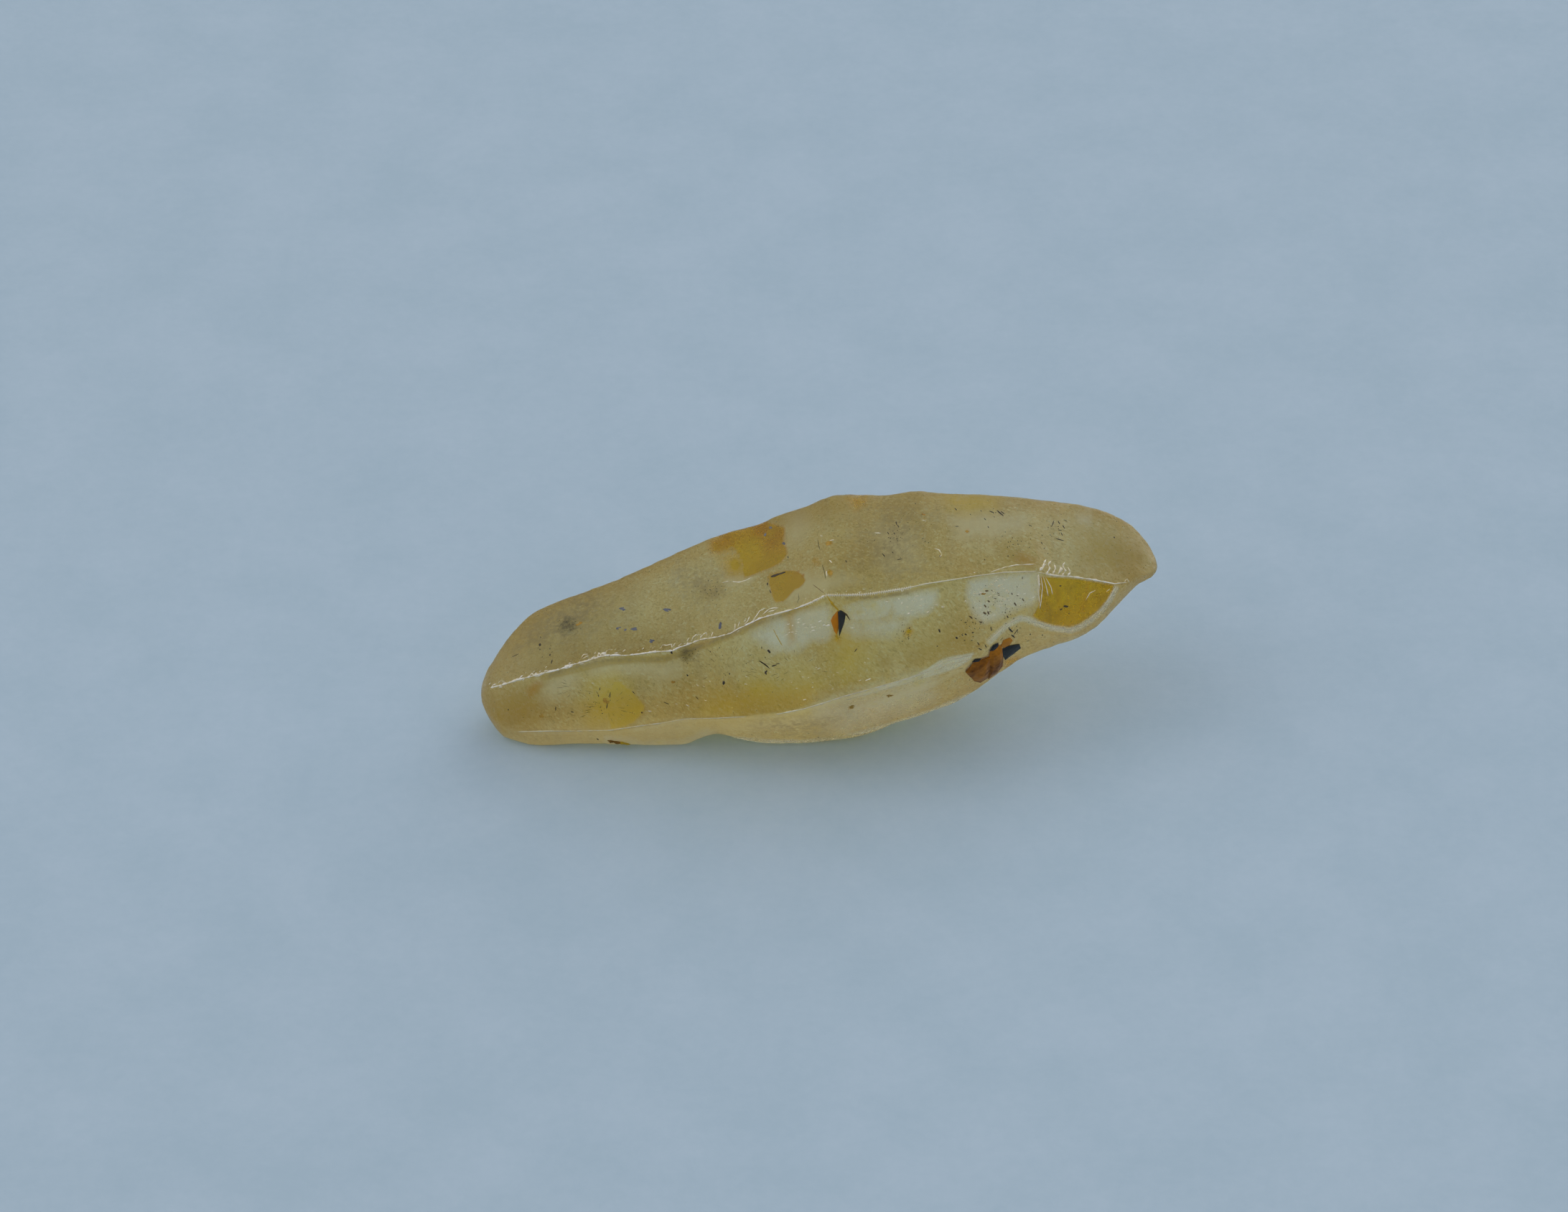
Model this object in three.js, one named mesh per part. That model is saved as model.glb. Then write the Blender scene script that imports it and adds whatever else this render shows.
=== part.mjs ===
// A yellow sapphire crystal as it comes out of river gravel: one worn, six-sided bipyramid.
// It lies on two worn patches of its underside, with its right end raised.
// Millimetres, +Z up. X runs along the crystal towards the raised end, -Y is the front.
// The origin is the middle of the outline's footprint, on the surface that the crystal rests on.
import * as THREE from 'three';

// ---- Driving dimensions ---------------------------------------------------------------------

const AXIS_PITCH = THREE.MathUtils.degToRad(10.5); // how far the long axis is tilted up to the right
const AXIS_HEIGHT = 2.85; // height of the long axis above the rest surface, halfway along
const LEFT_TIP = [-10.27, -0.35, -0.1]; // [along, across, up] from the middle of the long axis
const RIGHT_TIP = [10.22, 0.9, 0.15];
const LEFT_NOSE_START = -9.75; // past these points the end is rounded off to the tip
const RIGHT_NOSE_START = 9.6;
const NOSE_POINTEDNESS = 0.52; // 0.5 is a round cap, 1 is a cone
const NOSE_RINGS = 5;

// The six ridges, in order around the crystal, each as [along, across, up] from left to right.
// `wear` is how far from the old sharp edge the water has cut, at the left and the right end.
const RIDGES = [
  {
    name: 'upper front',
    wear: [0.1, 0.19],
    points: [
      [-9.75, -0.85, 0.55], [-8.5, -1.1, 0.96], [-7.2, -1.15, 1.18], [-6.3, -1.15, 1.32],
      [-5.0, -1.15, 1.22], [-4.1, -1.15, 1.22], [-2.8, -1.12, 1.39], [-1.4, -1.08, 1.83],
      [-0.5, -1.08, 2.0], [0.6, -1.15, 2.43], [1.7, -1.2, 2.25], [3.0, -1.15, 2.22],
      [4.0, -1.05, 2.27], [5.1, -0.85, 2.08], [6.3, -0.63, 1.84], [6.8, -0.52, 1.73],
      [7.1, -0.5, 1.44], [7.9, -0.38, 1.08], [9.0, -0.15, 0.52], [9.6, 0.15, 0.42],
    ],
  },
  {
    name: 'lower front',
    wear: [0.08, 0.27],
    points: [
      [-9.75, -1.5, -0.38], [-8.8, -1.8, -0.51], [-7.5, -1.9, -0.63], [-6.2, -2.05, -0.77],
      [-5.3, -2.1, -0.73], [-4.2, -2.2, -0.58], [-3.2, -2.3, -0.69], [-2.1, -2.4, -0.69],
      [-1.0, -2.5, -0.68], [0.3, -2.65, -0.31], [1.7, -2.6, -0.07], [3.0, -2.4, 0.02],
      [4.6, -1.95, 0.12], [5.2, -1.7, 0.23], [5.7, -1.5, 0.46], [6.1, -1.35, 0.62],
      [6.5, -1.2, 0.44], [7.5, -1.0, -0.24], [7.9, -0.9, -0.3], [8.4, -0.7, -0.14],
      [8.9, -0.4, 0.27], [9.6, 0.2, 0.22],
    ],
  },
  {
    name: 'bottom front',
    wear: [0.25, 0.35],
    points: [
      [-9.75, -1.3, -1.1], [-8.9, -1.6, -1.35], [-7.7, -1.6, -1.5], [-6.4, -1.6, -1.75],
      [-4.8, -1.6, -2.1], [-4.3, -1.6, -2.12], [-3.9, -1.58, -1.96], [-3.45, -1.55, -1.93],
      [-3.0, -1.55, -2.14], [-2.4, -1.55, -2.45], [-1.0, -1.5, -2.8], [0.8, -1.3, -2.98],
      [1.65, -1.25, -2.82], [2.5, -1.2, -2.66], [3.9, -1.0, -2.42], [5.3, -0.75, -1.74],
      [6.25, -0.65, -1.35], [7.6, -0.45, -1.17], [8.5, -0.25, -0.72], [9.6, 0.4, -0.12],
    ],
  },
  {
    name: 'bottom back',
    wear: [0.3, 0.45],
    points: [
      [-9.75, 0.35, -0.85], [-8.7, 0.8, -1.27], [-6.4, 1.2, -1.75], [-4.4, 1.6, -2.1],
      [-3.5, 1.7, -1.98], [-2.5, 1.8, -2.4], [0.0, 2.0, -2.9], [1.4, 2.05, -2.95],
      [3.5, 1.9, -2.3], [6.0, 1.6, -1.3], [8.0, 1.4, -0.75], [9.6, 1.2, -0.1],
    ],
  },
  {
    name: 'back',
    wear: [0.3, 0.35],
    points: [
      [-9.75, 0.6, -0.1], [-8.6, 1.8, -0.1], [-6.2, 2.7, -0.15], [-3.5, 3.35, 0.0],
      [0.0, 3.75, 0.25], [1.5, 3.75, 0.3], [4.0, 3.35, 0.45], [7.0, 2.85, 0.5],
      [9.0, 2.35, 0.55], [9.6, 1.9, 0.5],
    ],
  },
  {
    name: 'crest',
    wear: [0.3, 0.35],
    points: [
      [-9.75, 0.42, 0.74], [-9.4, 0.66, 1.08], [-8.9, 1.05, 1.34], [-8.6, 1.35, 1.45],
      [-7.8, 1.65, 1.56], [-6.2, 2.1, 1.65], [-4.9, 2.4, 1.85], [-3.6, 2.6, 2.18],
      [-2.6, 2.7, 2.4], [-1.3, 2.85, 2.51], [-0.85, 2.85, 2.68], [0.1, 2.75, 2.92],
      [0.5, 2.7, 3.1], [1.0, 2.7, 3.24], [1.4, 2.7, 3.21], [2.7, 2.65, 3.0],
      [3.2, 2.6, 3.07], [4.4, 2.5, 2.87], [6.1, 2.3, 2.6], [6.9, 2.25, 2.36],
      [8.1, 2.3, 1.92], [8.9, 2.2, 1.6], [9.3, 2.05, 1.38], [9.6, 1.95, 1.14],
    ],
  },
];

const FACE_CROWN = 0.03; // how far a face bulges, as a share of its width
const LEDGE_HEIGHT = 0.035; // growth ledges step down towards each tip
const LEDGE_SKIP = 3; // every third ledge is missing on any one face
const LEDGES = [
  -9.1, -8.35, -7.4, -6.7, -5.8, -4.7, -4.05, -3.1, -2.35, -1.1, 0.75,
  1.6, 2.9, 3.7, 4.9, 5.6, 6.9, 7.6, 8.3, 8.95,
];

// Pits and chips: `side` 0 is the upper front ridge, 1 the lower front one, 5.5 mid top face.
const PITS = [
  { along: -6.5, side: 5.95, radius: 0.3, depth: 0.1 },
  { along: -3.4, side: 5.93, radius: 0.42, depth: 0.12 },
  { along: -2.2, side: 5.95, radius: 0.35, depth: 0.11 },
  { along: -1.35, side: 5.94, radius: 0.3, depth: 0.1 },
  { along: 0.25, side: 5.96, radius: 0.25, depth: 0.08 },
  { along: 4.85, side: 0.95, radius: 0.4, depth: 0.14 },
  { along: -7.6, side: 5.55, radius: 0.35, depth: 0.08 },
  { along: -1.7, side: 5.75, radius: 0.5, depth: 0.09 },
  { along: 2.3, side: 5.4, radius: 0.4, depth: 0.07 },
  { along: 5.9, side: 5.6, radius: 0.45, depth: 0.08 },
  { along: -5.2, side: 3.5, radius: 0.6, depth: 0.1 },
  { along: 3.0, side: 3.6, radius: 0.7, depth: 0.1 },
  { along: -2.0, side: 4.5, radius: 0.6, depth: 0.1 },
  { along: 5.0, side: 4.4, radius: 0.5, depth: 0.08 },
];

// ---- Sections across the crystal ------------------------------------------------------------

const RIDGE_COUNT = RIDGES.length;
const RIDGE_HALF = 0.1; // half a worn ridge, as a share of a side
const LARGEST_CUT = 0.3; // wear never takes more than this share of a face, from each end
const ridgeLines = RIDGES.map(({ points }) => new THREE.CubicInterpolant(
  points.map(([along]) => along),
  points.flatMap(([, across, up]) => [across, up]),
  2,
));

function ridgeCorners(along) {
  return ridgeLines.map((line) => new THREE.Vector2(...line.evaluate(along)));
}

// A face lies a little under its mean line just past a ledge, and rises towards the next one.
function faceRelief(along, face) {
  const ledges = LEDGES.filter((_, index) => (index + face) % LEDGE_SKIP !== 0);
  const next = ledges.findIndex((ledge) => ledge > along);
  if (next <= 0) return 0;
  const climbed = (along - ledges[next - 1]) / (ledges[next] - ledges[next - 1]);
  return LEDGE_HEIGHT * (along > 0 ? climbed - 0.5 : 0.5 - climbed);
}

// `side` counts faces around the crystal. Over a ridge the relief of two faces is mixed.
function ledgeRelief(along, side) {
  const nearest = Math.round(side);
  const share = THREE.MathUtils.clamp((side - nearest) / (2 * RIDGE_HALF) + 0.5, 0, 1);
  const before = faceRelief(along, (nearest + RIDGE_COUNT - 1) % RIDGE_COUNT);
  const after = faceRelief(along, nearest % RIDGE_COUNT);
  return THREE.MathUtils.lerp(before, after, share);
}

function pitDepth(along, side, faceWidth) {
  let depth = 0;
  for (const pit of PITS) {
    const turn = Math.abs(side - pit.side);
    const across = Math.min(turn, RIDGE_COUNT - turn) * faceWidth;
    const reach = ((along - pit.along) ** 2 + across ** 2) / pit.radius ** 2;
    depth += pit.depth * Math.exp(-2 * reach);
  }
  return depth;
}

// The old sharp corner number `index`, rounded off by wear.
function wornRidge(corners, index, along) {
  const ridge = corners[index % RIDGE_COUNT];
  const [leftWear, rightWear] = RIDGES[index % RIDGE_COUNT].wear;
  const reach = THREE.MathUtils.mapLinear(along, LEFT_TIP[0], RIGHT_TIP[0], leftWear, rightWear);
  const cutTowards = (other) => {
    const share = Math.min(reach / ridge.distanceTo(other), LARGEST_CUT);
    return ridge.clone().lerp(other, share);
  };
  const before = corners[(index + RIDGE_COUNT - 1) % RIDGE_COUNT];
  const after = corners[(index + 1) % RIDGE_COUNT];
  return new THREE.QuadraticBezierCurve(cutTowards(before), ridge, cutTowards(after));
}

// One side of a section: half of its first worn ridge, its crowned face, half of the next ridge.
function sidePoints(corners, index, along) {
  const start = corners[index];
  const end = corners[(index + 1) % RIDGE_COUNT];
  const width = start.distanceTo(end);
  const outward = new THREE.Vector2(end.y - start.y, start.x - end.x).normalize();
  const first = wornRidge(corners, index, along);
  const second = wornRidge(corners, index + 1, along);
  const crowned = (share) => first.getPoint(1).lerp(second.getPoint(0), share)
    .addScaledVector(outward, FACE_CROWN * width * 4 * share * (1 - share));
  const points = [
    [0, first.getPoint(0.5)],
    [RIDGE_HALF / 2, first.getPoint(0.75)],
    [RIDGE_HALF, crowned(0)],
    [0.3, crowned(0.25)],
    [0.5, crowned(0.5)],
    [0.7, crowned(0.75)],
    [1 - RIDGE_HALF, crowned(1)],
    [1 - RIDGE_HALF / 2, second.getPoint(0.25)],
  ];
  return points.map(([share, point]) => ({ side: index + share, point, outward, width }));
}

function section(along) {
  const corners = ridgeCorners(along);
  const spots = corners.flatMap((_, index) => sidePoints(corners, index, along));
  return spots.map(({ side, point, outward, width }) => {
    const relief = ledgeRelief(along, side) - pitDepth(along, side, width);
    return point.addScaledVector(outward, relief);
  });
}

// Past the start of a nose the section shrinks to the tip, with its rings closest at the tip.
function noseSections(noseStart, [tipAlong, tipAcross, tipUp]) {
  const outline = section(noseStart);
  const middle = outline.reduce((sum, p) => sum.add(p), new THREE.Vector2());
  middle.divideScalar(outline.length);
  const tip = new THREE.Vector2(tipAcross, tipUp);
  return Array.from({ length: NOSE_RINGS }, (_, ring) => {
    const toTip = (1 - (ring + 1) / (NOSE_RINGS + 1)) ** 2;
    const centre = tip.clone().lerp(middle, toTip);
    const scale = toTip ** NOSE_POINTEDNESS;
    const points = outline.map((p) => p.clone().sub(middle).multiplyScalar(scale).add(centre));
    return { along: THREE.MathUtils.lerp(tipAlong, noseStart, toTip), points };
  });
}

// ---- The crystal ----------------------------------------------------------------------------

const STATION_SHARES = [0.06, 0.35, 0.65, 0.94]; // sections between one ledge and the next

// Where the sections stand: close to both sides of each ledge, so that it is a clean step.
function stations() {
  const edges = [LEFT_NOSE_START, ...LEDGES, RIGHT_NOSE_START];
  const between = edges.slice(1).flatMap((end, index) => (
    STATION_SHARES.map((share) => THREE.MathUtils.lerp(edges[index], end, share))
  ));
  return [LEFT_NOSE_START, ...between, RIGHT_NOSE_START];
}

function crystalGeometry() {
  const rings = [
    ...noseSections(LEFT_NOSE_START, LEFT_TIP).reverse(),
    ...stations().map((along) => ({ along, points: section(along) })),
    ...noseSections(RIGHT_NOSE_START, RIGHT_TIP),
  ];
  const positions = [
    LEFT_TIP,
    ...rings.flatMap(({ along, points }) => points.map((p) => [along, p.x, p.y])),
    RIGHT_TIP,
  ];
  const around = rings[0].points.length;
  const rightTip = positions.length - 1;
  const lastRing = rightTip - around;
  const faces = [];
  for (let spot = 0; spot < around; spot += 1) {
    const neighbour = (spot + 1) % around;
    faces.push(0, 1 + neighbour, 1 + spot);
    for (let ring = 1; ring < lastRing; ring += around) {
      const next = ring + around;
      faces.push(ring + spot, ring + neighbour, next + spot);
      faces.push(ring + neighbour, next + neighbour, next + spot);
    }
    faces.push(lastRing + spot, lastRing + neighbour, rightTip);
  }

  const geometry = new THREE.BufferGeometry();
  geometry.setAttribute('position', new THREE.Float32BufferAttribute(positions.flat(), 3));
  geometry.setIndex(faces);
  geometry.rotateY(-AXIS_PITCH);
  geometry.translate(0, 0, AXIS_HEIGHT);
  return geometry;
}

// Where the underside would reach below the rest surface it is worn flat.
function wearFlat(geometry) {
  const position = geometry.getAttribute('position');
  for (let i = 0; i < position.count; i += 1) {
    position.setZ(i, Math.max(position.getZ(i), 0));
  }
}

const geometry = crystalGeometry();
wearFlat(geometry);
geometry.computeBoundingBox();
const middle = geometry.boundingBox.getCenter(new THREE.Vector3());
geometry.translate(-middle.x, -middle.y, 0);
geometry.computeVertexNormals();

const crystal = new THREE.Mesh(geometry, new THREE.MeshStandardMaterial({
  color: 0xc9b274,
  roughness: 0.3,
  metalness: 0,
  transparent: true,
  opacity: 0.6,
}));
crystal.name = 'sapphire_crystal';

const group = new THREE.Group();
group.add(crystal);

export default group;
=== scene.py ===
import math
import random

import bmesh
import bpy
import numpy as np
from mathutils import Matrix, Vector, noise
from mathutils.bvhtree import BVHTree


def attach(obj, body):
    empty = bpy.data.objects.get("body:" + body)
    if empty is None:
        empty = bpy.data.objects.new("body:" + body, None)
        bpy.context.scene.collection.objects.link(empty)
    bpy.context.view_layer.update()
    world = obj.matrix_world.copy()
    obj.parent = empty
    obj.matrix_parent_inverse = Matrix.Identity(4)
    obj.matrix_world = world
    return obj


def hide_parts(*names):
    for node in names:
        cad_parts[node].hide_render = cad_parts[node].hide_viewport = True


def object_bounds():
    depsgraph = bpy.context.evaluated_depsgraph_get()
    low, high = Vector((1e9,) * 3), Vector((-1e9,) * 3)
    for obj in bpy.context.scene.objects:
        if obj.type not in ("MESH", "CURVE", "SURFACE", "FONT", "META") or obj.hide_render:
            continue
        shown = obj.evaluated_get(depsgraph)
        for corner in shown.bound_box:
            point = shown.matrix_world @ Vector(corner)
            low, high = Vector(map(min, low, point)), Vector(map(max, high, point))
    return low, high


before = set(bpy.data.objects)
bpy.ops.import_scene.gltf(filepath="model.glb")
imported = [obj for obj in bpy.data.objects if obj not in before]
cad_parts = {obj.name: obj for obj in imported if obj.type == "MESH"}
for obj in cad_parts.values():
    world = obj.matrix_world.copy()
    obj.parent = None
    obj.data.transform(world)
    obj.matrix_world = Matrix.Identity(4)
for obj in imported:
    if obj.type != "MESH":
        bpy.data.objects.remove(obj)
CAD_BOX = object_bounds()

MM = 0.001
NODE = "sapphire_crystal"
BODY = "root"

# ---- The camera's view, the floor and the light ---------------------------------------------

# The camera looks down at the crystal's front. Its picture is 2184 by 1688, and a place given
# as (x, y) below is a place in that picture, from its top left corner.
PICTURE = (2184, 1688)
CAMERA_ELEVATION = math.radians(38)
CAMERA_DISTANCE = 232.3 * MM
CAMERA_TARGET = Vector((-1.01, -0.547, 4.03)) * MM
CAMERA_LENS = 180.0
SENSOR_WIDTH = 36.0
NEAREST_SEEN = 10 * MM
FOCAL = PICTURE[0] * CAMERA_LENS / SENSOR_WIDTH
STEP = CAMERA_DISTANCE / FOCAL  # how far apart two neighbouring places of the picture are

FLOOR_REACH = 600 * MM
FLOOR_CELLS = 8
FLOOR_GAP = 0.01 * MM

AMBIENT = 0.27
# Broad soft lights: compass direction (0 is behind the crystal, 90 is to its right), height
# above the floor in degrees, strength and tightness.
SOFT_LIGHTS = [
    (-93, 38, 1.24, 6.0),
    (32, 30, 1.35, 7.0),
    (51, 5, 0.92, 9.9),
    (118, 3, 0.38, 9.0),
]
LAMP_PLACE = Vector((160, -280, 100)) * MM
LAMP_AIM = Vector((4, -4.5, 0)) * MM
LAMP_POWER = 0.09
LAMP_COLOUR = (1.0, 0.93, 0.7)
LAMP_SPREAD = math.radians(5)
LAMP_RADIUS = 20 * MM

# ---- The crystal's axis and how its mesh is refined -----------------------------------------

# The long axis of the crystal: growth lines run across it.
AXIS_PITCH = math.radians(10.5)
AXIS_HEIGHT = 2.85 * MM  # above the floor, at the crystal's middle
AXIS = Vector((math.cos(AXIS_PITCH), 0, math.sin(AXIS_PITCH)))

MERGE_DISTANCE = 0.001 * MM
JOIN_BEND = math.radians(60)  # triangles that bend less than this are joined in four-sided faces
JOIN_SHAPE = math.radians(180)
SUBDIVISIONS = 2
LEDGE_BEND = math.radians(5)  # flatter bends than this are smoothed away
SMOOTHED_ABOVE = 0.3 * MM  # the patches that the crystal rests on stay as they are
SMOOTHING_ROUNDS = 12
SMOOTHING = 0.5

# Water-worn relief: height in millimetres, how many to a millimetre, and the fractal's settings.
DENT = (0.022, 0.8, (0.9, 2.0, 3))
PIT = (0.006, 6.0, (0.8, 2.0, 2))
GROWTH_STEP = 0.007
GROWTH_STEPS_ALONG = 5.5
GROWTH_STEPS_ACROSS = 0.7
RELIEF_FADE = 0.12  # the relief fades out over this height above the floor, in millimetres

# ---- What shows on the skin -----------------------------------------------------------------

# Stains, hazes, painted shade, and clear windows also painted pale where light shows through. Each
# has the width of its soft edge and its outline.
ZONES = {
    "amber": [
        (4, [(1003, 742), (1012, 739), (1037, 730), (1066, 726), (1081, 731), (1093, 734),
             (1093, 744), (1090, 756), (1095, 760), (1097, 774), (1088, 784), (1078, 790),
             (1052, 800), (1040, 804), (1030, 800), (1036, 786), (1026, 768), (1014, 756)]),
        (12, [(988, 754), (1012, 741), (1030, 756), (1016, 770), (990, 772)]),
        (22, [(1004, 776), (1030, 766), (1046, 792), (1030, 806), (1012, 802)]),
        (2.5, [(1068, 804), (1078, 799), (1096, 794), (1110, 795), (1120, 802), (1123, 809),
               (1116, 818), (1106, 822), (1100, 830), (1092, 838), (1080, 839), (1076, 832),
               (1073, 820)]),
        (3, [(1150, 754), (1160, 753), (1159, 759), (1151, 760)]),
        (5, [(1128, 776), (1139, 778), (1144, 786), (1136, 788)]),
        (3, [(1151, 794), (1157, 792), (1162, 798), (1157, 804), (1152, 802)]),
        (14, [(1180, 692), (1206, 691), (1204, 702), (1192, 710)]),
        (6, [(1260, 877), (1267, 873), (1273, 879), (1268, 886), (1261, 886)]),
        (3, [(1343, 738), (1350, 737), (1350, 742), (1344, 742)]),
        (3, [(1182, 984), (1188, 983), (1188, 987), (1182, 988)]),
        (6, [(1398, 920), (1416, 914), (1424, 918), (1404, 936)]),
        (8, [(1160, 884), (1170, 886), (1170, 896), (1163, 894)]),
        (14, [(1096, 856), (1103, 854), (1106, 892), (1099, 896)]),
    ],
    "leaf": [
        (3, [(1448, 803), (1471, 804), (1501, 806), (1524, 810), (1552, 815), (1550, 822),
             (1542, 836), (1531, 849), (1517, 860), (1503, 869), (1490, 873), (1467, 871),
             (1448, 865), (1438, 858), (1447, 842)]),
    ],
    "rust": [
        (6, [(1048, 731), (1068, 727), (1072, 738), (1064, 750), (1052, 745)]),
        (5, [(1077, 736), (1093, 735), (1092, 752), (1080, 750)]),
        (16, [(1056, 744), (1090, 748), (1092, 766), (1066, 768)]),
        (2, [(1096, 794), (1110, 794), (1121, 801), (1123, 807), (1108, 799), (1098, 797)]),
        (20, [(994, 754), (1012, 744), (1020, 756), (1002, 766)]),
        (3, [(840, 973), (847, 973), (848, 979), (841, 979)]),
        (12, [(735, 960), (744, 952), (752, 950), (748, 962), (738, 970)]),
        (5, [(1151, 755), (1159, 754), (1158, 758), (1152, 759)]),
        (16, [(1420, 772), (1440, 780), (1436, 786), (1416, 780)]),
    ],
    "yellow": [
        (4, [(853, 948), (868, 952), (880, 962), (890, 974), (899, 984), (893, 996), (883, 1006),
             (871, 1012), (850, 1016), (846, 990)]),
        (36, [(826, 950), (856, 942), (874, 958), (868, 1010), (824, 1010), (812, 984)]),
        (34, [(1030, 953), (1058, 945), (1084, 952), (1088, 966), (1064, 980), (1038, 978)]),
        (30, [(1318, 690), (1385, 693), (1384, 706), (1345, 712), (1326, 706)]),
        (60, [(1000, 968), (1120, 944), (1150, 950), (1120, 982), (1040, 992), (980, 994)]),
        (64, [(1170, 880), (1196, 890), (1200, 930), (1176, 950), (1162, 930)]),
    ],
    "ochre_and_painted_shade": [
        (14, [(866, 990), (890, 976), (899, 985), (892, 998), (880, 1006), (864, 1008)]),
        (30, [(670, 990), (678, 966), (709, 958), (744, 950), (752, 966), (756, 990), (740, 1010),
              (706, 1016), (684, 1006)]),
        (12, [(738, 954), (757, 947), (768, 947), (758, 958), (750, 972), (738, 972)]),
        (10, [(948, 905), (964, 902), (966, 912), (957, 922), (949, 917)]),
        (16, [(974, 820), (1000, 816), (1006, 828), (988, 836), (974, 832)]),
        (40, [(1500, 735), (1550, 735), (1606, 770), (1596, 792), (1556, 800), (1510, 788)]),
        (26, [(1398, 766), (1440, 782), (1436, 788), (1404, 778)]),
        (40, [(1290, 890), (1345, 872), (1352, 896), (1318, 914), (1270, 925), (1262, 905)]),
        (50, [(1010, 715), (1110, 700), (1178, 694), (1178, 712), (1110, 722), (1030, 735)]),
        (110, [(684, 930), (740, 866), (820, 832), (846, 834), (790, 896)]),
        (12, [(1222, 914), (1238, 914), (1240, 926), (1224, 926)]),
        (12, [(1218, 838), (1232, 836), (1236, 862), (1222, 870)]),
        (10, [(1062, 872), (1074, 866), (1080, 896), (1068, 904)]),
    ],
    # Clear, polished windows, also painted pale where light shows through the crystal and along
    # its lower edge.
    "clear": [
        (3, [(1178, 972), (1207, 963), (1239, 952), (1267, 943), (1292, 931), (1308, 920),
             (1322, 915), (1356, 909), (1352, 918), (1334, 930), (1310, 938), (1280, 947),
             (1250, 955), (1210, 967)]),
        (12, [(1080, 868), (1100, 858), (1130, 848), (1153, 846), (1159, 860), (1158, 884),
             (1150, 894), (1130, 892), (1116, 903), (1108, 898), (1101, 886), (1090, 890)]),
        (20, [(1050, 884), (1084, 862), (1120, 870), (1110, 904), (1078, 906)]),
        (8, [(1176, 846), (1196, 839), (1232, 834), (1244, 840), (1238, 858), (1216, 864),
             (1190, 866)]),
        (12, [(1238, 834), (1262, 828), (1306, 822), (1304, 842), (1290, 854), (1266, 860),
              (1244, 860)]),
        (22, [(1170, 866), (1230, 862), (1262, 866), (1240, 884), (1190, 884)]),
        (11, [(1350, 810), (1398, 802), (1444, 799), (1446, 812), (1445, 830), (1437, 841),
             (1421, 846), (1404, 853), (1389, 863), (1370, 867), (1357, 860), (1352, 845),
             (1346, 826)]),
        (60, [(1150, 990), (1230, 970), (1290, 955), (1286, 968), (1250, 984), (1180, 1010)]),
        (16, [(846, 1030), (900, 1036), (950, 1034), (985, 1020), (1000, 1026), (975, 1046),
              (880, 1052)]),
    ],
    "frost": [
        (44, [(700, 1026), (800, 1024), (900, 1016), (980, 1006), (1010, 1020), (900, 1040),
              (760, 1044), (700, 1040)]),
        (34, [(754, 952), (764, 945), (786, 942), (800, 945), (792, 956), (776, 966), (764, 975),
              (758, 966)]),
        (22, [(820, 928), (846, 924), (880, 924), (914, 926), (948, 922), (950, 934), (930, 946),
              (890, 936), (850, 936), (824, 938)]),
        (20, [(1322, 722), (1372, 714), (1424, 722), (1430, 736), (1390, 748), (1336, 746)]),
        (8, [(1006, 806), (1040, 801), (1058, 800), (1046, 811), (1014, 816)]),
        (24, [(1095, 716), (1120, 708), (1128, 734), (1112, 756), (1098, 752)]),
        (14, [(1000, 1006), (1080, 1004), (1150, 990), (1146, 1000), (1090, 1014), (1010, 1014)]),
        (16, [(890, 1016), (950, 1008), (980, 1010), (960, 1022), (900, 1026)]),
        (20, [(1090, 802), (1140, 800), (1200, 806), (1150, 822), (1100, 840), (1090, 832)]),
        (10, [(1500, 716), (1520, 718), (1518, 730), (1502, 728)]),
        (44, [(1228, 746), (1262, 742), (1272, 778), (1234, 786)]),
    ],
    "smoke": [
        (9, [(779, 868), (790, 861), (801, 865), (804, 876), (797, 884), (785, 882), (777, 876)]),
        (9, [(948, 906), (960, 902), (968, 908), (964, 918), (953, 921), (947, 914)]),
    ],
    "haze_and_painted_shade": [
        # Painted shade low on the front; the rest of this list is brown haze and mottle.
        (40, [(1060, 1008), (1130, 1000), (1180, 996), (1150, 1016), (1090, 1024)]),
        (18, [(985, 818), (1000, 816), (1008, 826), (1000, 834), (984, 832)]),
        (48, [(946, 800), (972, 800), (1000, 816), (1004, 832), (980, 836), (955, 818)]),
        (80, [(1240, 716), (1270, 712), (1276, 734), (1262, 760), (1270, 786), (1226, 790),
              (1198, 774), (1212, 752), (1238, 742)]),
        (40, [(724, 900), (760, 856), (822, 826), (846, 846), (790, 892)]),
    ],
}
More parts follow.
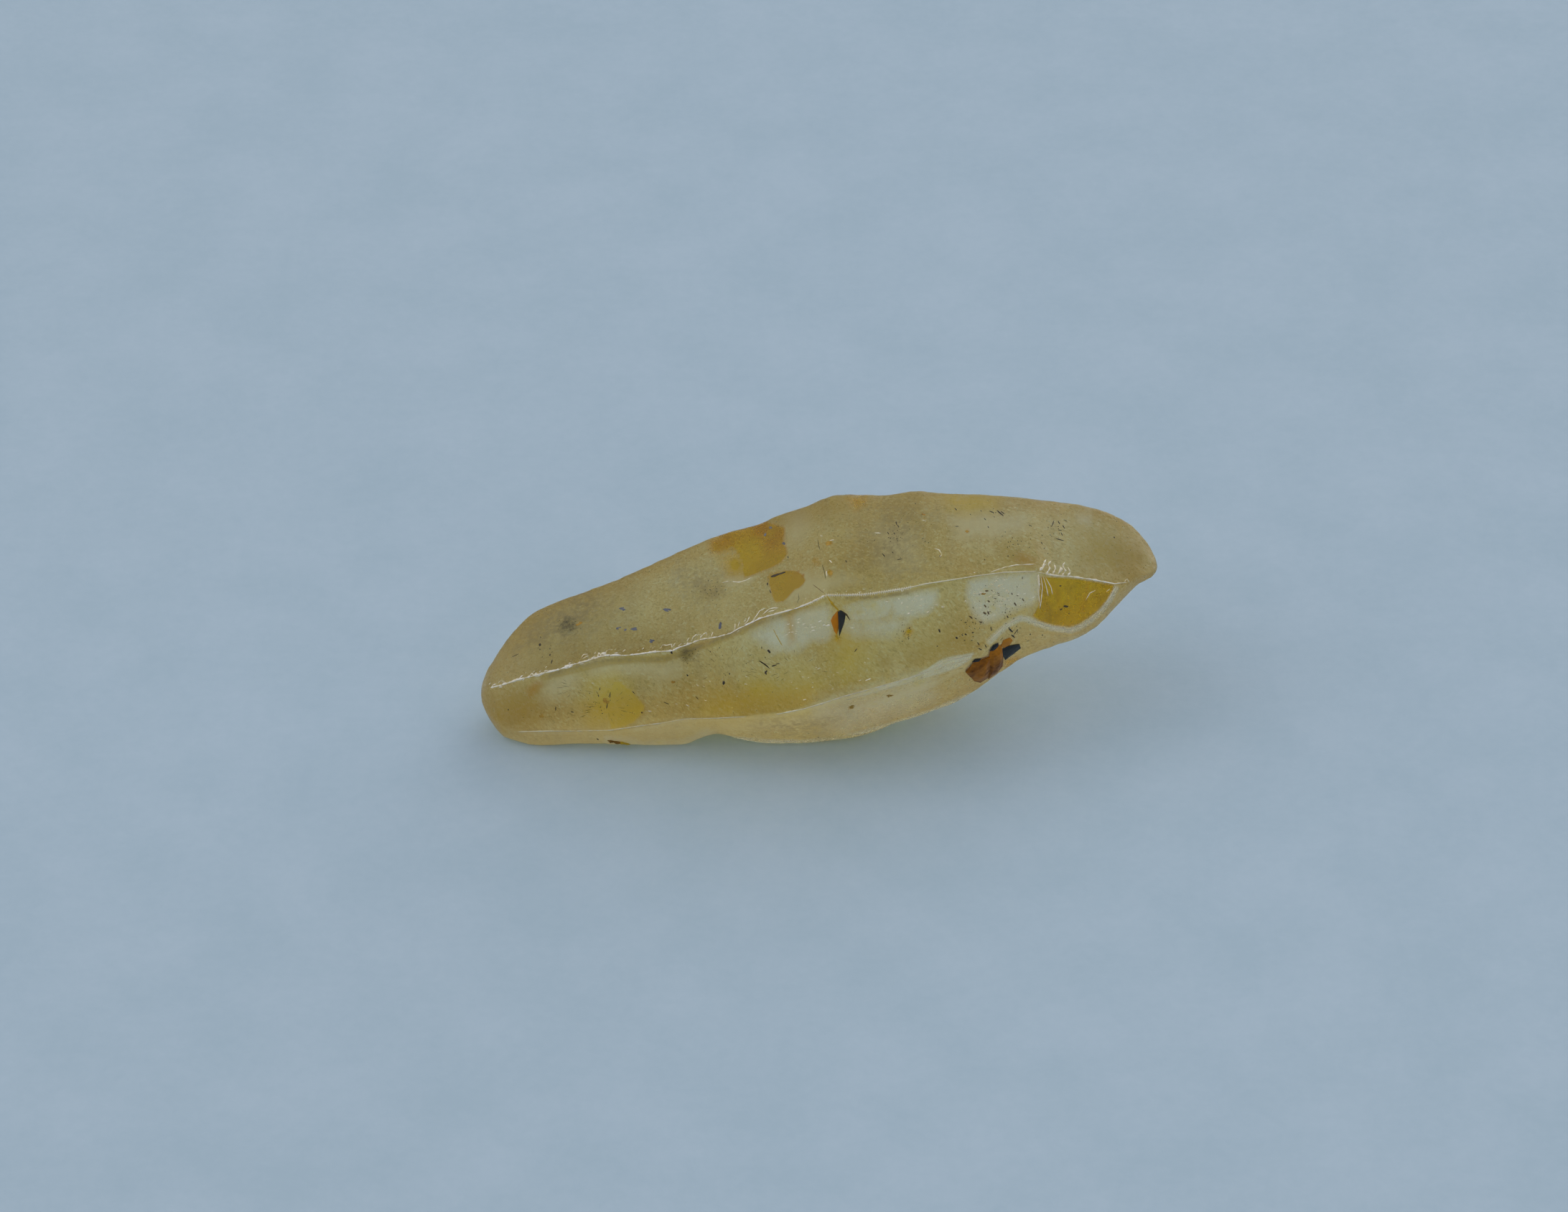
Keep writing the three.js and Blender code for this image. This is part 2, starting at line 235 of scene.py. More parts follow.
# Stains, painted shadow and painted light that run along a line: the kind, the width of the soft
# edge, half the width, the run.
STREAKS = [
    # Painted shadow: a darker band just under the upper ridge.
    ("ochre_and_painted_shade", 4, 5, [(757, 944), (787, 936), (824, 928), (847, 922), (883, 919), (925, 918),
                     (945, 912), (961, 905), (984, 898), (1023, 882), (1060, 866), (1096, 856),
                     (1128, 846)]),
    # Painted shadow just under the upper ridge.
    ("ochre_and_painted_shade", 4, 2, [(1240, 828), (1262, 825), (1286, 819), (1312, 813)]),
    # Painted shade: a darker rim along the top outline.
    ("ochre_and_painted_shade", 12, 1, [(700, 905), (740, 864), (800, 836), (870, 802), (930, 777), (1000, 745),
                      (1060, 729), (1110, 707), (1160, 692), (1250, 688), (1350, 690),
                      (1450, 697), (1520, 708), (1580, 732), (1604, 772)]),
    # Painted shadow just under the upper ridge.
    ("haze_and_painted_shade", 6, 2.5, [(766, 941), (782, 934), (798, 930)]),
    ("haze_and_painted_shade", 5, 2, [(800, 929), (850, 919), (925, 918), (948, 911), (985, 897), (1050, 870),
                      (1110, 850)]),
    ("rust", 7, 1, [(1516, 810), (1513, 828), (1507, 850)]),
    ("rust", 8, 1, [(1466, 812), (1474, 830), (1476, 850)]),
    # Painted shadow just under the upper ridge.
    ("haze_and_painted_shade", 4, 1.5, [(1180, 833), (1220, 832), (1264, 826)]),
    # Painted shade along the bottom edge, where the crystal comes down to the floor.
    ("haze_and_painted_shade", 9, 4, [(690, 1044), (760, 1046), (860, 1048)]),
    # Painted reflection: a pale band along the notch ridge, on clearer skin.
    ("clear", 4, 4, [(1378, 893), (1386, 886), (1398, 875), (1409, 867), (1421, 861),
                       (1430, 862), (1444, 868), (1467, 875), (1490, 878), (1503, 874),
                       (1519, 864), (1535, 849), (1547, 833), (1554, 820)]),
    # Painted light: a pale rim along the lower edge of the belly.
    ("clear", 4, 3, [(1010, 1028), (1060, 1033), (1120, 1034), (1180, 1026), (1240, 1010),
                     (1300, 990), (1350, 968)]),
    ("frost", 5, 3, [(1147, 981), (1174, 973), (1207, 964), (1239, 955)]),
    ("frost", 5, 2.5, [(725, 1021), (800, 1021), (856, 1020), (904, 1013), (948, 1004),
                       (998, 1003), (1080, 998), (1147, 983)]),
    ("frost", 6, 2, [(1186, 988), (1230, 976), (1300, 952), (1350, 926)]),
]

# The ridges that show from the front, from left to right.
UPPER_RIDGE = [
    (683, 958), (700, 954), (720, 947), (740, 942), (760, 937), (780, 932), (800, 925), (820, 920),
    (833, 915), (850, 912), (870, 913), (890, 911), (910, 908), (928, 907), (938, 906), (945, 902),
    (955, 899), (975, 891), (1000, 887), (1018, 882), (1030, 875), (1045, 868), (1060, 861),
    (1085, 854), (1110, 847), (1130, 839), (1150, 829), (1180, 829), (1205, 828), (1240, 823),
    (1260, 820), (1290, 813), (1330, 807), (1360, 802), (1400, 797), (1443, 796),
]
LEAF_RIM = [(1446, 797), (1470, 802), (1492, 803), (1520, 807), (1552, 813), (1570, 811)]
LOWER_RIDGE = [
    (720, 1019), (760, 1018), (800, 1018), (850, 1017), (890, 1011), (920, 1007), (955, 1001),
    (1000, 1000), (1040, 998), (1080, 995), (1120, 987), (1147, 979), (1174, 970), (1207, 961),
    (1239, 952), (1266, 944), (1294, 934), (1318, 920), (1358, 911),
]
NOTCH_RIDGE = [
    (1378, 893), (1386, 885), (1398, 874), (1409, 866), (1421, 860), (1430, 861), (1444, 867),
    (1467, 873), (1490, 876), (1503, 872), (1519, 863), (1535, 847), (1547, 830), (1554, 817),
]

# Small chips that catch the light, each a short run.
CHIPS = [
    [(737, 942), (741, 938), (746, 942)], [(722, 948), (726, 945)],
    [(809, 917), (813, 912), (819, 911)], [(811, 918), (816, 915), (820, 913)],
    [(825, 916), (829, 913)], [(833, 915), (834, 909), (837, 913), (839, 908)],
    [(920, 903), (923, 898), (929, 899), (935, 897), (936, 902)], [(957, 893), (960, 888)],
    [(963, 893), (965, 888), (971, 883)], [(975, 889), (979, 884), (984, 881), (985, 887)],
    [(991, 887), (993, 880)], [(1021, 881), (1024, 875), (1024, 868)], [(1028, 873), (1031, 864)],
    [(1038, 869), (1042, 864), (1044, 858)], [(1050, 862), (1055, 856), (1058, 851), (1066, 847)],
    [(1062, 856), (1072, 848), (1083, 846)], [(1070, 852), (1080, 850)],
    [(824, 951), (827, 952)], [(1142, 746), (1146, 747)], [(1155, 753), (1162, 752)],
    [(1155, 780), (1159, 784)], [(1302, 764), (1308, 766), (1312, 772), (1309, 776)],
    [(1284, 724), (1290, 726)], [(1218, 742), (1227, 743)], [(1151, 795), (1152, 803)],
    [(1047, 804), (1040, 808), (1030, 811), (1020, 810)], [(1005, 812), (1016, 809)],
    [(1196, 948), (1200, 947)], [(1205, 948), (1213, 945)], [(1158, 960), (1161, 959)],
    [(1131, 968), (1133, 968)], [(1118, 975), (1123, 974)], [(940, 980), (944, 981)],
    [(955, 981), (960, 984)], [(902, 990), (908, 991)],
    [(1566, 810), (1570, 806), (1573, 812)], [(1380, 797), (1400, 790), (1415, 787), (1440, 786)],
]
# Broader creamy curls above the leaf facet.
CURLS = [
    [(1452, 793), (1454, 784), (1457, 779)], [(1448, 795), (1453, 788), (1458, 785)],
    [(1457, 800), (1462, 792), (1460, 786), (1464, 781)], [(1466, 800), (1470, 792), (1468, 785)],
    [(1473, 801), (1478, 793), (1475, 787)], [(1479, 802), (1484, 795), (1480, 788), (1483, 783)],
    [(1487, 802), (1491, 797), (1487, 790)], [(1446, 800), (1447, 812), (1449, 822)],
]
# Patches of pale etched flecks: the middle, width and height of each, and how many.
FLECKS = [
    (1385, 830, 34, 26, 80), (1275, 838, 36, 16, 26), (1130, 868, 34, 18, 18),
    (1335, 922, 26, 8, 16), (1100, 880, 18, 16, 10),
]
# Fine lines at the left and right edges of the leaf facet.
LEAF_LINES = [
    [(1447, 802), (1446, 820), (1448, 840)], [(1450, 803), (1452, 818), (1450, 838), (1448, 848)],
    [(1453, 803), (1457, 816), (1460, 830)], [(1456, 804), (1464, 818), (1466, 828)],
    [(1512, 836), (1518, 826), (1526, 822)], [(1541, 824), (1546, 820)],
]

# Grains: the start, the end and the width of each. The two ends of a dot nearly meet.
DARK_GRAINS = [
    (752, 897, 752, 899, 5), (753, 887, 753, 888, 2.5), (766, 911, 766, 913, 3),
    (769, 919, 768, 924, 2.5), (766, 903, 766, 904, 2), (752, 904, 752, 905, 2),
    (713, 915, 722, 911, 2), (708, 988, 708, 989, 2.5), (774, 984, 774, 990, 2),
    (795, 991, 799, 992, 2.2), (846, 980, 845, 987, 2.2), (833, 968, 834, 970, 2),
    (850, 964, 849, 972, 2), (836, 957, 835, 962, 1.8), (881, 963, 884, 966, 1.8),
    (894, 992, 894, 993, 3), (925, 978, 932, 981, 1.8), (957, 940, 958, 941, 3),
    (934, 906, 936, 910, 4), (832, 1029, 833, 1030, 4), (969, 970, 973, 974, 1.5),
    (1008, 950, 1008, 952, 6), (1016, 938, 1016, 939, 2.5), (1066, 936, 1067, 938, 5),
    (1066, 938, 1068, 934, 3.5), (1070, 906, 1072, 908, 5), (1061, 901, 1061, 903, 2),
    (1057, 920, 1064, 924, 2), (1064, 924, 1072, 931, 2.5), (1075, 928, 1081, 926, 2.5),
    (1080, 925, 1086, 924, 1.5), (1190, 908, 1194, 903, 2), (1229, 771, 1233, 776, 2.5),
    (1249, 780, 1257, 778, 2), (1309, 774, 1310, 776, 2.5), (1178, 781, 1179, 783, 2),
    (1236, 741, 1238, 744, 2), (1248, 726, 1249, 731, 2.5), (1250, 731, 1252, 734, 2),
    (1245, 742, 1246, 744, 2), (1243, 769, 1244, 770, 2), (1218, 752, 1218, 753, 2),
    (1275, 701, 1275, 702, 2), (1330, 708, 1332, 710, 2.5), (1351, 716, 1352, 717, 2),
    (1366, 711, 1367, 712, 2), (1379, 712, 1384, 714, 3), (1389, 711, 1397, 718, 4),
    (1394, 712, 1399, 716, 2.5), (1371, 722, 1373, 724, 2), (1376, 733, 1377, 735, 2),
    (1331, 733, 1335, 733, 1.8), (1371, 779, 1372, 780, 2), (1433, 731, 1437, 733, 2),
    (1450, 755, 1452, 758, 2), (1451, 745, 1452, 746, 2), (1478, 742, 1480, 746, 2),
    (1470, 750, 1482, 753, 2.5), (1465, 733, 1468, 725, 2.2), (1474, 726, 1476, 730, 2.5),
    (1480, 732, 1483, 736, 2.5), (1474, 738, 1479, 739, 1.8), (1482, 724, 1486, 726, 2),
    (1482, 844, 1487, 845, 5), (1477, 849, 1479, 848, 3), (1489, 854, 1489, 855, 2),
    (1476, 816, 1478, 816, 2.5), (1449, 840, 1449, 848, 2), (1552, 748, 1552, 749, 3),
    (1393, 892, 1397, 888, 2), (1405, 875, 1410, 880, 4), (1412, 884, 1418, 876, 2.2),
    (1409, 884, 1413, 888, 3), (1416, 872, 1416, 873, 2), (1435, 883, 1435, 884, 3),
    (1452, 884, 1452, 885, 2.5), (1430, 893, 1434, 892, 2), (1363, 903, 1367, 905, 2.5),
    (1361, 894, 1365, 900, 2.5), (1372, 898, 1374, 902, 2), (1380, 873, 1381, 878, 2.5),
    (1332, 888, 1333, 889, 4), (1340, 884, 1341, 885, 2.5), (1343, 892, 1344, 892, 2.5),
    (1344, 883, 1346, 884, 3), (1353, 892, 1354, 892, 2), (1354, 881, 1356, 881, 3),
    (1308, 877, 1309, 880, 3.5), (1305, 900, 1306, 900, 2), (1075, 803, 1084, 800, 6.5),
    (1083, 800, 1094, 797, 4), (1069, 812, 1069, 815, 3), (1072, 822, 1074, 826, 1.8),
    (1097, 775, 1098, 777, 2),
]
BROWN_GRAINS = [
    (1350, 858, 1354, 861, 3.5), (1358, 861, 1360, 862, 2), (1364, 866, 1367, 867, 2.5),
    (1344, 867, 1346, 867, 2.5), (1355, 846, 1356, 847, 2), (1376, 852, 1377, 855, 3.5),
    (1370, 853, 1373, 855, 4), (1371, 843, 1373, 845, 3.5), (1376, 837, 1378, 838, 3),
    (1373, 823, 1376, 823, 3.5), (1381, 822, 1382, 823, 2), (1363, 828, 1368, 828, 1.8),
    (1409, 826, 1410, 828, 2.5), (1416, 829, 1418, 830, 2), (1424, 834, 1426, 837, 2.5),
    (1413, 840, 1415, 843, 3.5), (1403, 858, 1404, 860, 3), (1424, 804, 1424, 806, 2.5),
    (1391, 829, 1392, 829, 2), (1366, 868, 1368, 866, 2),
]
# Clusters of tiny dark grains: the middle, the spread and how many.
CLUSTERS = [
    (1385, 835, 26, 26), (1350, 880, 22, 12), (1470, 740, 16, 12), (1250, 745, 24, 16),
    (791, 872, 15, 30), (990, 824, 26, 40), (1250, 742, 44, 50), (960, 912, 14, 16),
    (1395, 856, 40, 40), (1415, 760, 40, 30), (1262, 880, 14, 20), (1020, 930, 45, 14),
    (840, 980, 32, 14), (1395, 715, 20, 6), (760, 905, 16, 6), (1415, 880, 12, 8),
]
# Flakes: the middle, half the length, half the width and the turn in degrees.
BLUE_FLAKES = [
    (867, 848, 4, 3, 20), (928, 850, 6, 3, -15), (860, 875, 2, 2, 0), (871, 877, 2.2, 2, 40),
    (884, 876, 4.5, 3, 0), (908, 893, 4, 3, -40), (1003, 872, 7, 3.5, 82), (1065, 745, 4, 3, 60),
    (1073, 735, 2.5, 2, 0), (1091, 757, 3, 2, 0), (862, 874, 3, 1.2, 0),
]
AMBER_GRAINS = [
    (844, 976, 4.5, 4, 0), (754, 997, 3.2, 3, 0), (807, 868, 4, 3.5, 0), (1286, 716, 3, 2, 0),
    (1154, 757, 4.5, 2.6, 10), (1157, 798, 3.5, 3, 30), (938, 950, 3, 2.5, 0),
    (1370, 827, 3, 1.5, 15), (1240, 969, 4.5, 3, 0), (1347, 739, 3, 3, 0), (1185, 985, 5, 3.5, 0),
]
# Outlines of the mineral lumps that stand out of the skin.
RUST_LUMPS = [
    [(1345, 936), (1355, 924), (1360, 921), (1372, 917), (1379, 915), (1381, 930), (1376, 944),
     (1365, 950), (1357, 949)],
    [(1377, 916), (1380, 905), (1388, 897), (1395, 900), (1398, 912), (1397, 928), (1388, 941),
     (1376, 946), (1380, 930)],
]
ORANGE_LUMPS = [
    [(1394, 900), (1397, 892), (1407, 888), (1411, 892), (1406, 899), (1399, 903)],
    [(1167, 850), (1160, 858), (1157, 864), (1162, 870), (1162, 880), (1166, 884), (1170, 866)],
]
BLACK_LUMPS = [
    [(1394, 905), (1402, 900), (1420, 897), (1422, 903), (1412, 910), (1400, 919), (1396, 912)],
    [(1167, 850), (1172, 850), (1178, 856), (1176, 867), (1172, 878), (1169, 887), (1168, 875),
     (1167, 862)],
    [(1354, 922), (1358, 918), (1367, 917), (1364, 921)],
    [(1378, 907), (1383, 899), (1391, 895), (1391, 900), (1384, 907)],
]
# Fans of fine hairs: the middle, how far the fan reaches and how many hairs it has.
FEATHERS = [
    (846, 984, 44, 34), (800, 958, 24, 16), (1010, 930, 60, 40), (1110, 930, 50, 26),
    (960, 914, 14, 16),
]
# Cracks and hairs: the radius in millimetres and the run.
DARK_THREADS = [
    (0.019, [(1173, 851), (1179, 856), (1184, 864)]),
    (0.008, [(1335, 932), (1342, 930)]),
    (0.008, [(1139, 751), (1140, 758), (1142, 766)]),
    (0.007, [(1145, 786), (1148, 795), (1150, 807)]),
    (0.006, [(1112, 826), (1113, 834), (1110, 840)]),
    (0.014, [(1057, 920), (1066, 926), (1073, 932)]),
]
RUST_THREADS = [
    (0.045, [(846, 1031), (858, 1033), (866, 1034), (874, 1037), (884, 1041)]),
    (0.008, [(1132, 814), (1140, 820), (1149, 827)]),
    (0.008, [(1162, 884), (1166, 889), (1170, 887)]),
]
GOLD_THREADS = [
    (0.018, [(1152, 829), (1155, 835), (1160, 842)]),
    (0.045, [(862, 1033), (872, 1035), (884, 1038)]),
    (0.034, [(1156, 836), (1160, 842), (1166, 848), (1169, 852)]),
    (0.026, [(1164, 882), (1166, 888), (1169, 891)]),
    (0.012, [(1077, 876), (1083, 888), (1090, 900)]),
]

# ---- Colours and finishes -------------------------------------------------------------------

HONEY_PALE = (0.87, 0.67, 0.25, 1)
HONEY_DEEP = (0.70, 0.465, 0.12, 1)
HONEY_DULL = (0.56, 0.40, 0.17, 1)
HONEY_LIGHT = (1.0, 0.91, 0.56, 1)
HONEY_SHADE = (0.40, 0.28, 0.055, 1)
FROST = (1.0, 0.87, 0.56, 1)
# This colour also paints the shadow under the upper ridge and a darker rim along the top outline.
OCHRE = (0.54, 0.32, 0.035, 1)
YELLOW = (0.93, 0.63, 0.035, 1)
# Near white: clear skin, also used to paint pale the light seen through the crystal.
WINDOW = (1.0, 1.0, 0.961, 1)
WINDOW_STAINED = (0.926, 0.826, 0.465, 1)
AMBER = (0.82, 0.42, 0.003, 1)
AMBER_DEEP = (0.66, 0.30, 0.001, 1)
LEAF = (0.75, 0.37, 0.0015, 1)
LEAF_DEEP = (0.46, 0.21, 0.0008, 1)
RUST = (0.60, 0.20, 0.001, 1)
# Brown haze, also used for painted shade.
HAZE_AND_PAINTED_SHADE = (0.34, 0.215, 0.08, 1)
SMOKE = (0.07, 0.05, 0.022, 1)
BACK_SKIN = (1.0, 1.0, 0.94, 1)

# The clear sapphire under the skin.
SAPPHIRE_IOR = 1.768
SAPPHIRE = {
    "Transmission Weight": 0.9,
    "IOR": SAPPHIRE_IOR,
    "Specular IOR Level": 0.2,
    "Specular Tint": (0.62, 0.55, 0.40, 1),
}
ABSORPTION = {"Color": (0.88, 0.78, 0.05, 1), "Density": 95.0}

# Patterns in the skin: the space they lie in, how many patches to a metre, and their settings.
ACROSS_STRETCH = (1, 0.16, 0.16)  # growth lines are long across the axis and narrow along it
HATCH_TURN = (0.3, 0.9, 0.2)
HATCH_STRETCH = (1, 1, 0.55)
PATTERNS = {
    "growth": ("across", 7000, {"detail": 3}),
    "hatch": ("hatched", 14000, {"detail": 3, "roughness": 0.65, "distortion": 0.8}),
    "skin": ("plain", 9000, {"detail": 5, "roughness": 0.65}),
    "cloud": ("plain", 420, {"detail": 4, "roughness": 0.6}),
    "blotch": ("plain", 1300, {"detail": 6, "roughness": 0.7}),
    "wisp": ("across", 1500, {"detail": 5, "roughness": 0.65, "distortion": 1.2}),
    "mottle": ("plain", 5200, {"detail": 4, "roughness": 0.7}),
}
# The honey colour, layer over layer: a pattern, the two values of it between which the layer
# comes in, the layer's strength and its colour.
HONEY_LAYERS = [
    ("cloud", 0.36, 0.66, 1.0, HONEY_DEEP),
    ("wisp", 0.50, 0.72, 0.5, HONEY_DULL),
    ("blotch", 0.52, 0.72, 0.6, HONEY_LIGHT),
    ("hatch", 0.54, 0.64, 0.75, HONEY_LIGHT),
    ("hatch", 0.46, 0.36, 0.65, HONEY_SHADE),
]
# The stains, painted shade and painted light over it: how ragged the edge is, the strength and
# the colour. Some go over into a second colour, between two values of a pattern.
STAINS_AND_PAINTED_LIGHT = [
    ("frost", 1.2, 0.75, FROST),
    ("ochre_and_painted_shade", 1.2, 0.75, OCHRE),
    ("yellow", 1.0, 0.85, YELLOW),
    ("clear", 1.5, 1.0, WINDOW, WINDOW_STAINED, "blotch", 0.52, 0.66),
    ("amber", 0.5, 1.0, AMBER, AMBER_DEEP, "cloud", 0.40, 0.60),
    ("leaf", 0.5, 1.0, LEAF, LEAF_DEEP, "blotch", 0.44, 0.60),
    ("rust", 0.8, 0.8, RUST),
]
# Dark haze, smoke and painted shade, speckled by the mottle: how ragged, the least and the most
# that shows, the colour.
SPECKLES = (0.40, 0.56)
DARK_HAZE_AND_SHADE = [
    ("haze_and_painted_shade", 1.8, 0.3, 0.95, HAZE_AND_PAINTED_SHADE),
    ("smoke", 2.4, 0.55, 0.95, SMOKE),
]
# The hidden sides are plainer. Their stains: how many to a metre, the two values between which
# they come in, the strength and the colour.
BACK_COVER = 0.95
BACK_STAINS = [
    (330, 0.52, 0.66, 0.35, HONEY_PALE),
    (520, 0.58, 0.66, 0.35, OCHRE),
    (430, 0.66, 0.68, 0.7, AMBER),
]
BLOTCH_IN_FRAY = 0.6  # the rest of what frays a stain's edge is fine skin
SKIN_SPAN = (0.3, 0.7)
SKIN_ROUGHNESS = (0.26, 0.42)
POLISH = -0.10
FROSTING = 0.2
BACK_ROUGHNESS = 0.32
RELIEF_SHARE = 0.8
BACK_RELIEF_LOSS = -0.6
SKIN_BUMP = 0.5
SKIN_BUMP_HEIGHT = 0.012 * MM

# Grained finishes: how many grains to a metre, the light and the dark colour, the roughness, and
# for some the strength and the depth of their bumps, their gloss or their refraction.
GRAIN_SPAN = (0.3, 0.7)
ROUGHNESS_SWING = 0.1
CLOUDS_TO_GRAINS = 0.12
FINE_SHARE = 0.5
GRAIN_BLEND = (0.55, 0.95)  # the light colour gives way to the dark one between these values
FINISHES = {
    "pale_paper": dict(scale=2600, light=(0.50, 0.645, 0.79), dark=(0.46, 0.61, 0.75),
                       roughness=0.85, bump=0.2, depth=0.04 * MM),
    # Near white: a bruised edge, whitened further as a painted highlight along the upper ridge.
    "bruised_ridge_highlight": dict(scale=9000, light=(1.0, 0.98, 0.90), dark=(0.74, 0.66, 0.46),
                          roughness=0.4, ior=SAPPHIRE_IOR),
    "dull_ridge": dict(scale=9000, light=(0.80, 0.77, 0.60), dark=(0.62, 0.56, 0.38),
                       roughness=0.4, ior=SAPPHIRE_IOR),
    # Chips, and the glints over the lower ridge, which are painted highlights.
    "chips_and_glints": dict(scale=9000, light=(1.0, 0.97, 0.84), dark=(0.78, 0.68, 0.44),
                         roughness=0.4, ior=SAPPHIRE_IOR),
    "dark_mineral": dict(scale=14000, light=(0.085, 0.058, 0.032), dark=(0.014, 0.012, 0.011),
                         roughness=0.5),
    "brown_mineral": dict(scale=14000, light=(0.19, 0.13, 0.055), dark=(0.07, 0.045, 0.022),
                          roughness=0.5),
    "blue_mica": dict(scale=9000, light=(0.18, 0.20, 0.25), dark=(0.08, 0.09, 0.13),
                      roughness=0.5),
    "amber_rust": dict(scale=9000, light=(0.54, 0.33, 0.04), dark=(0.34, 0.18, 0.012),
                       roughness=0.5),
    "iron_rust": dict(scale=6400, light=(0.66, 0.235, 0.004), dark=(0.11, 0.030, 0.001),
                      roughness=0.40, gloss=0.15),
    "orange_mineral": dict(scale=6000, light=(0.62, 0.25, 0.008), dark=(0.40, 0.13, 0.004),
                           roughness=0.35, gloss=0.2),
    "black_mineral": dict(scale=9000, light=(0.030, 0.036, 0.036), dark=(0.008, 0.009, 0.012),
                          roughness=0.4, gloss=0.25),
    "dark_cracks": dict(scale=7000, light=(0.10, 0.07, 0.03), dark=(0.03, 0.022, 0.015),
                        roughness=0.45, gloss=0.2),
    "rust_hairs": dict(scale=7000, light=(0.30, 0.15, 0.02), dark=(0.10, 0.045, 0.01),
                       roughness=0.45, gloss=0.2),
    "gold_hairs": dict(scale=7000, light=(0.62, 0.42, 0.03), dark=(0.45, 0.28, 0.02),
                       roughness=0.45, gloss=0.2),
    "feather_brown": dict(scale=7000, light=(0.30, 0.20, 0.07), dark=(0.14, 0.09, 0.03),
                          roughness=0.5, gloss=0.2),
}


# ---- Shader helpers -------------------------------------------------------------------------

class Nodes:
    """Adds shader nodes to a tree and links them."""

    def __init__(self, tree):
        self.tree = tree

    def add(self, kind, inputs=None, **settings):
        node = self.tree.nodes.new("ShaderNode" + kind)
        for key, value in settings.items():
            setattr(node, key, value)
        for key, value in (inputs or {}).items():
            self.put(value, node.inputs[key])
        return node

    def put(self, value, socket):
        if isinstance(value, bpy.types.NodeSocket):
            self.tree.links.new(value, socket)
        else:
            socket.default_value = value

    def noise(self, vector, scale, detail=4.0, roughness=0.55, distortion=0.0):
        return self.add("TexNoise", {
            "Vector": vector, "Scale": scale, "Detail": detail,
            "Roughness": roughness, "Distortion": distortion,
        }).outputs["Fac"]

    def ramp(self, value, low, high, out_low=0.0, out_high=1.0):
        return self.add("MapRange", {
            "Value": value, "From Min": low, "From Max": high,
            "To Min": out_low, "To Max": out_high,
        }).outputs["Result"]

    def math(self, operation, a, b=0.0, c=0.0):
        node = self.add("Math", operation=operation)
        for value, socket in zip((a, b, c), node.inputs):
            self.put(value, socket)
        return node.outputs[0]

    def mix(self, factor, a, b):
        node = self.add("Mix", data_type="RGBA")
        for value, index in ((factor, 0), (a, 6), (b, 7)):  # 6 and 7 are the two colours
            self.put(value, node.inputs[index])
        return node.outputs[2]

    def mapped(self, vector, **settings):
        inputs = {"Vector": vector} | {name.title(): value for name, value in settings.items()}
        return self.add("Mapping", inputs).outputs[0]

    def attribute(self, name):
        return self.add("Attribute", attribute_name=name).outputs["Fac"]

    def place(self):
        return self.add("TexCoord").outputs["Object"]


def new_material(name):
    material = bpy.data.materials.new(name)
    material.use_nodes = True
    tree = material.node_tree
    return material, Nodes(tree), tree.nodes["Principled BSDF"], tree.nodes["Material Output"]


def grain_group():
    """Two colours mixed by fine grain over broad clouds, and the height of the grain."""
    group = bpy.data.node_groups.new("grain", "ShaderNodeTree")
    for name, kind in (("Vector", "NodeSocketVector"), ("Scale", "NodeSocketFloat"),
                       ("Light", "NodeSocketColor"), ("Dark", "NodeSocketColor")):
        group.interface.new_socket(name, in_out="INPUT", socket_type=kind)
    for name, kind in (("Colour", "NodeSocketColor"), ("Height", "NodeSocketFloat")):
        group.interface.new_socket(name, in_out="OUTPUT", socket_type=kind)
    nodes = Nodes(group)
    given = group.nodes.new("NodeGroupInput").outputs
    result = group.nodes.new("NodeGroupOutput").inputs
    cloud_scale = nodes.math("MULTIPLY", given["Scale"], CLOUDS_TO_GRAINS)
    fine = nodes.noise(given["Vector"], given["Scale"], detail=6, roughness=0.62)
    broad = nodes.noise(given["Vector"], cloud_scale, detail=3)
    blend = nodes.ramp(nodes.math("MULTIPLY_ADD", fine, FINE_SHARE, broad), *GRAIN_BLEND)
    nodes.put(nodes.mix(blend, given["Light"], given["Dark"]), result["Colour"])
    nodes.put(fine, result["Height"])
    return group


def finish(name):
    """The grained material listed under this name."""
    return grained_material(name, **FINISHES[name])


def grained_material(name, scale, light, dark, roughness, bump=0.3, depth=0.01 * MM,
                     gloss=None, ior=None):
    material, nodes, surface, _ = new_material(name)
    grain = nodes.tree.nodes.new("ShaderNodeGroup")
    grain.node_tree = bpy.data.node_groups.get("grain") or grain_group()
    for value, socket in ((nodes.place(), "Vector"), (scale, "Scale"),
                          ((*light, 1), "Light"), ((*dark, 1), "Dark")):
        nodes.put(value, grain.inputs[socket])
    height = grain.outputs["Height"]
    rough = nodes.ramp(height, *GRAIN_SPAN, roughness - ROUGHNESS_SWING,
                       roughness + ROUGHNESS_SWING)
    relief = nodes.add("Bump", {"Height": height, "Strength": bump, "Distance": depth})
    nodes.put(grain.outputs["Colour"], surface.inputs["Base Color"])
    nodes.put(rough, surface.inputs["Roughness"])
    nodes.put(relief.outputs["Normal"], surface.inputs["Normal"])
    if gloss is not None:
        surface.inputs["Specular IOR Level"].default_value = gloss
    if ior is not None:
        surface.inputs["IOR"].default_value = ior
    return material


# ---- The crystal's glass --------------------------------------------------------------------

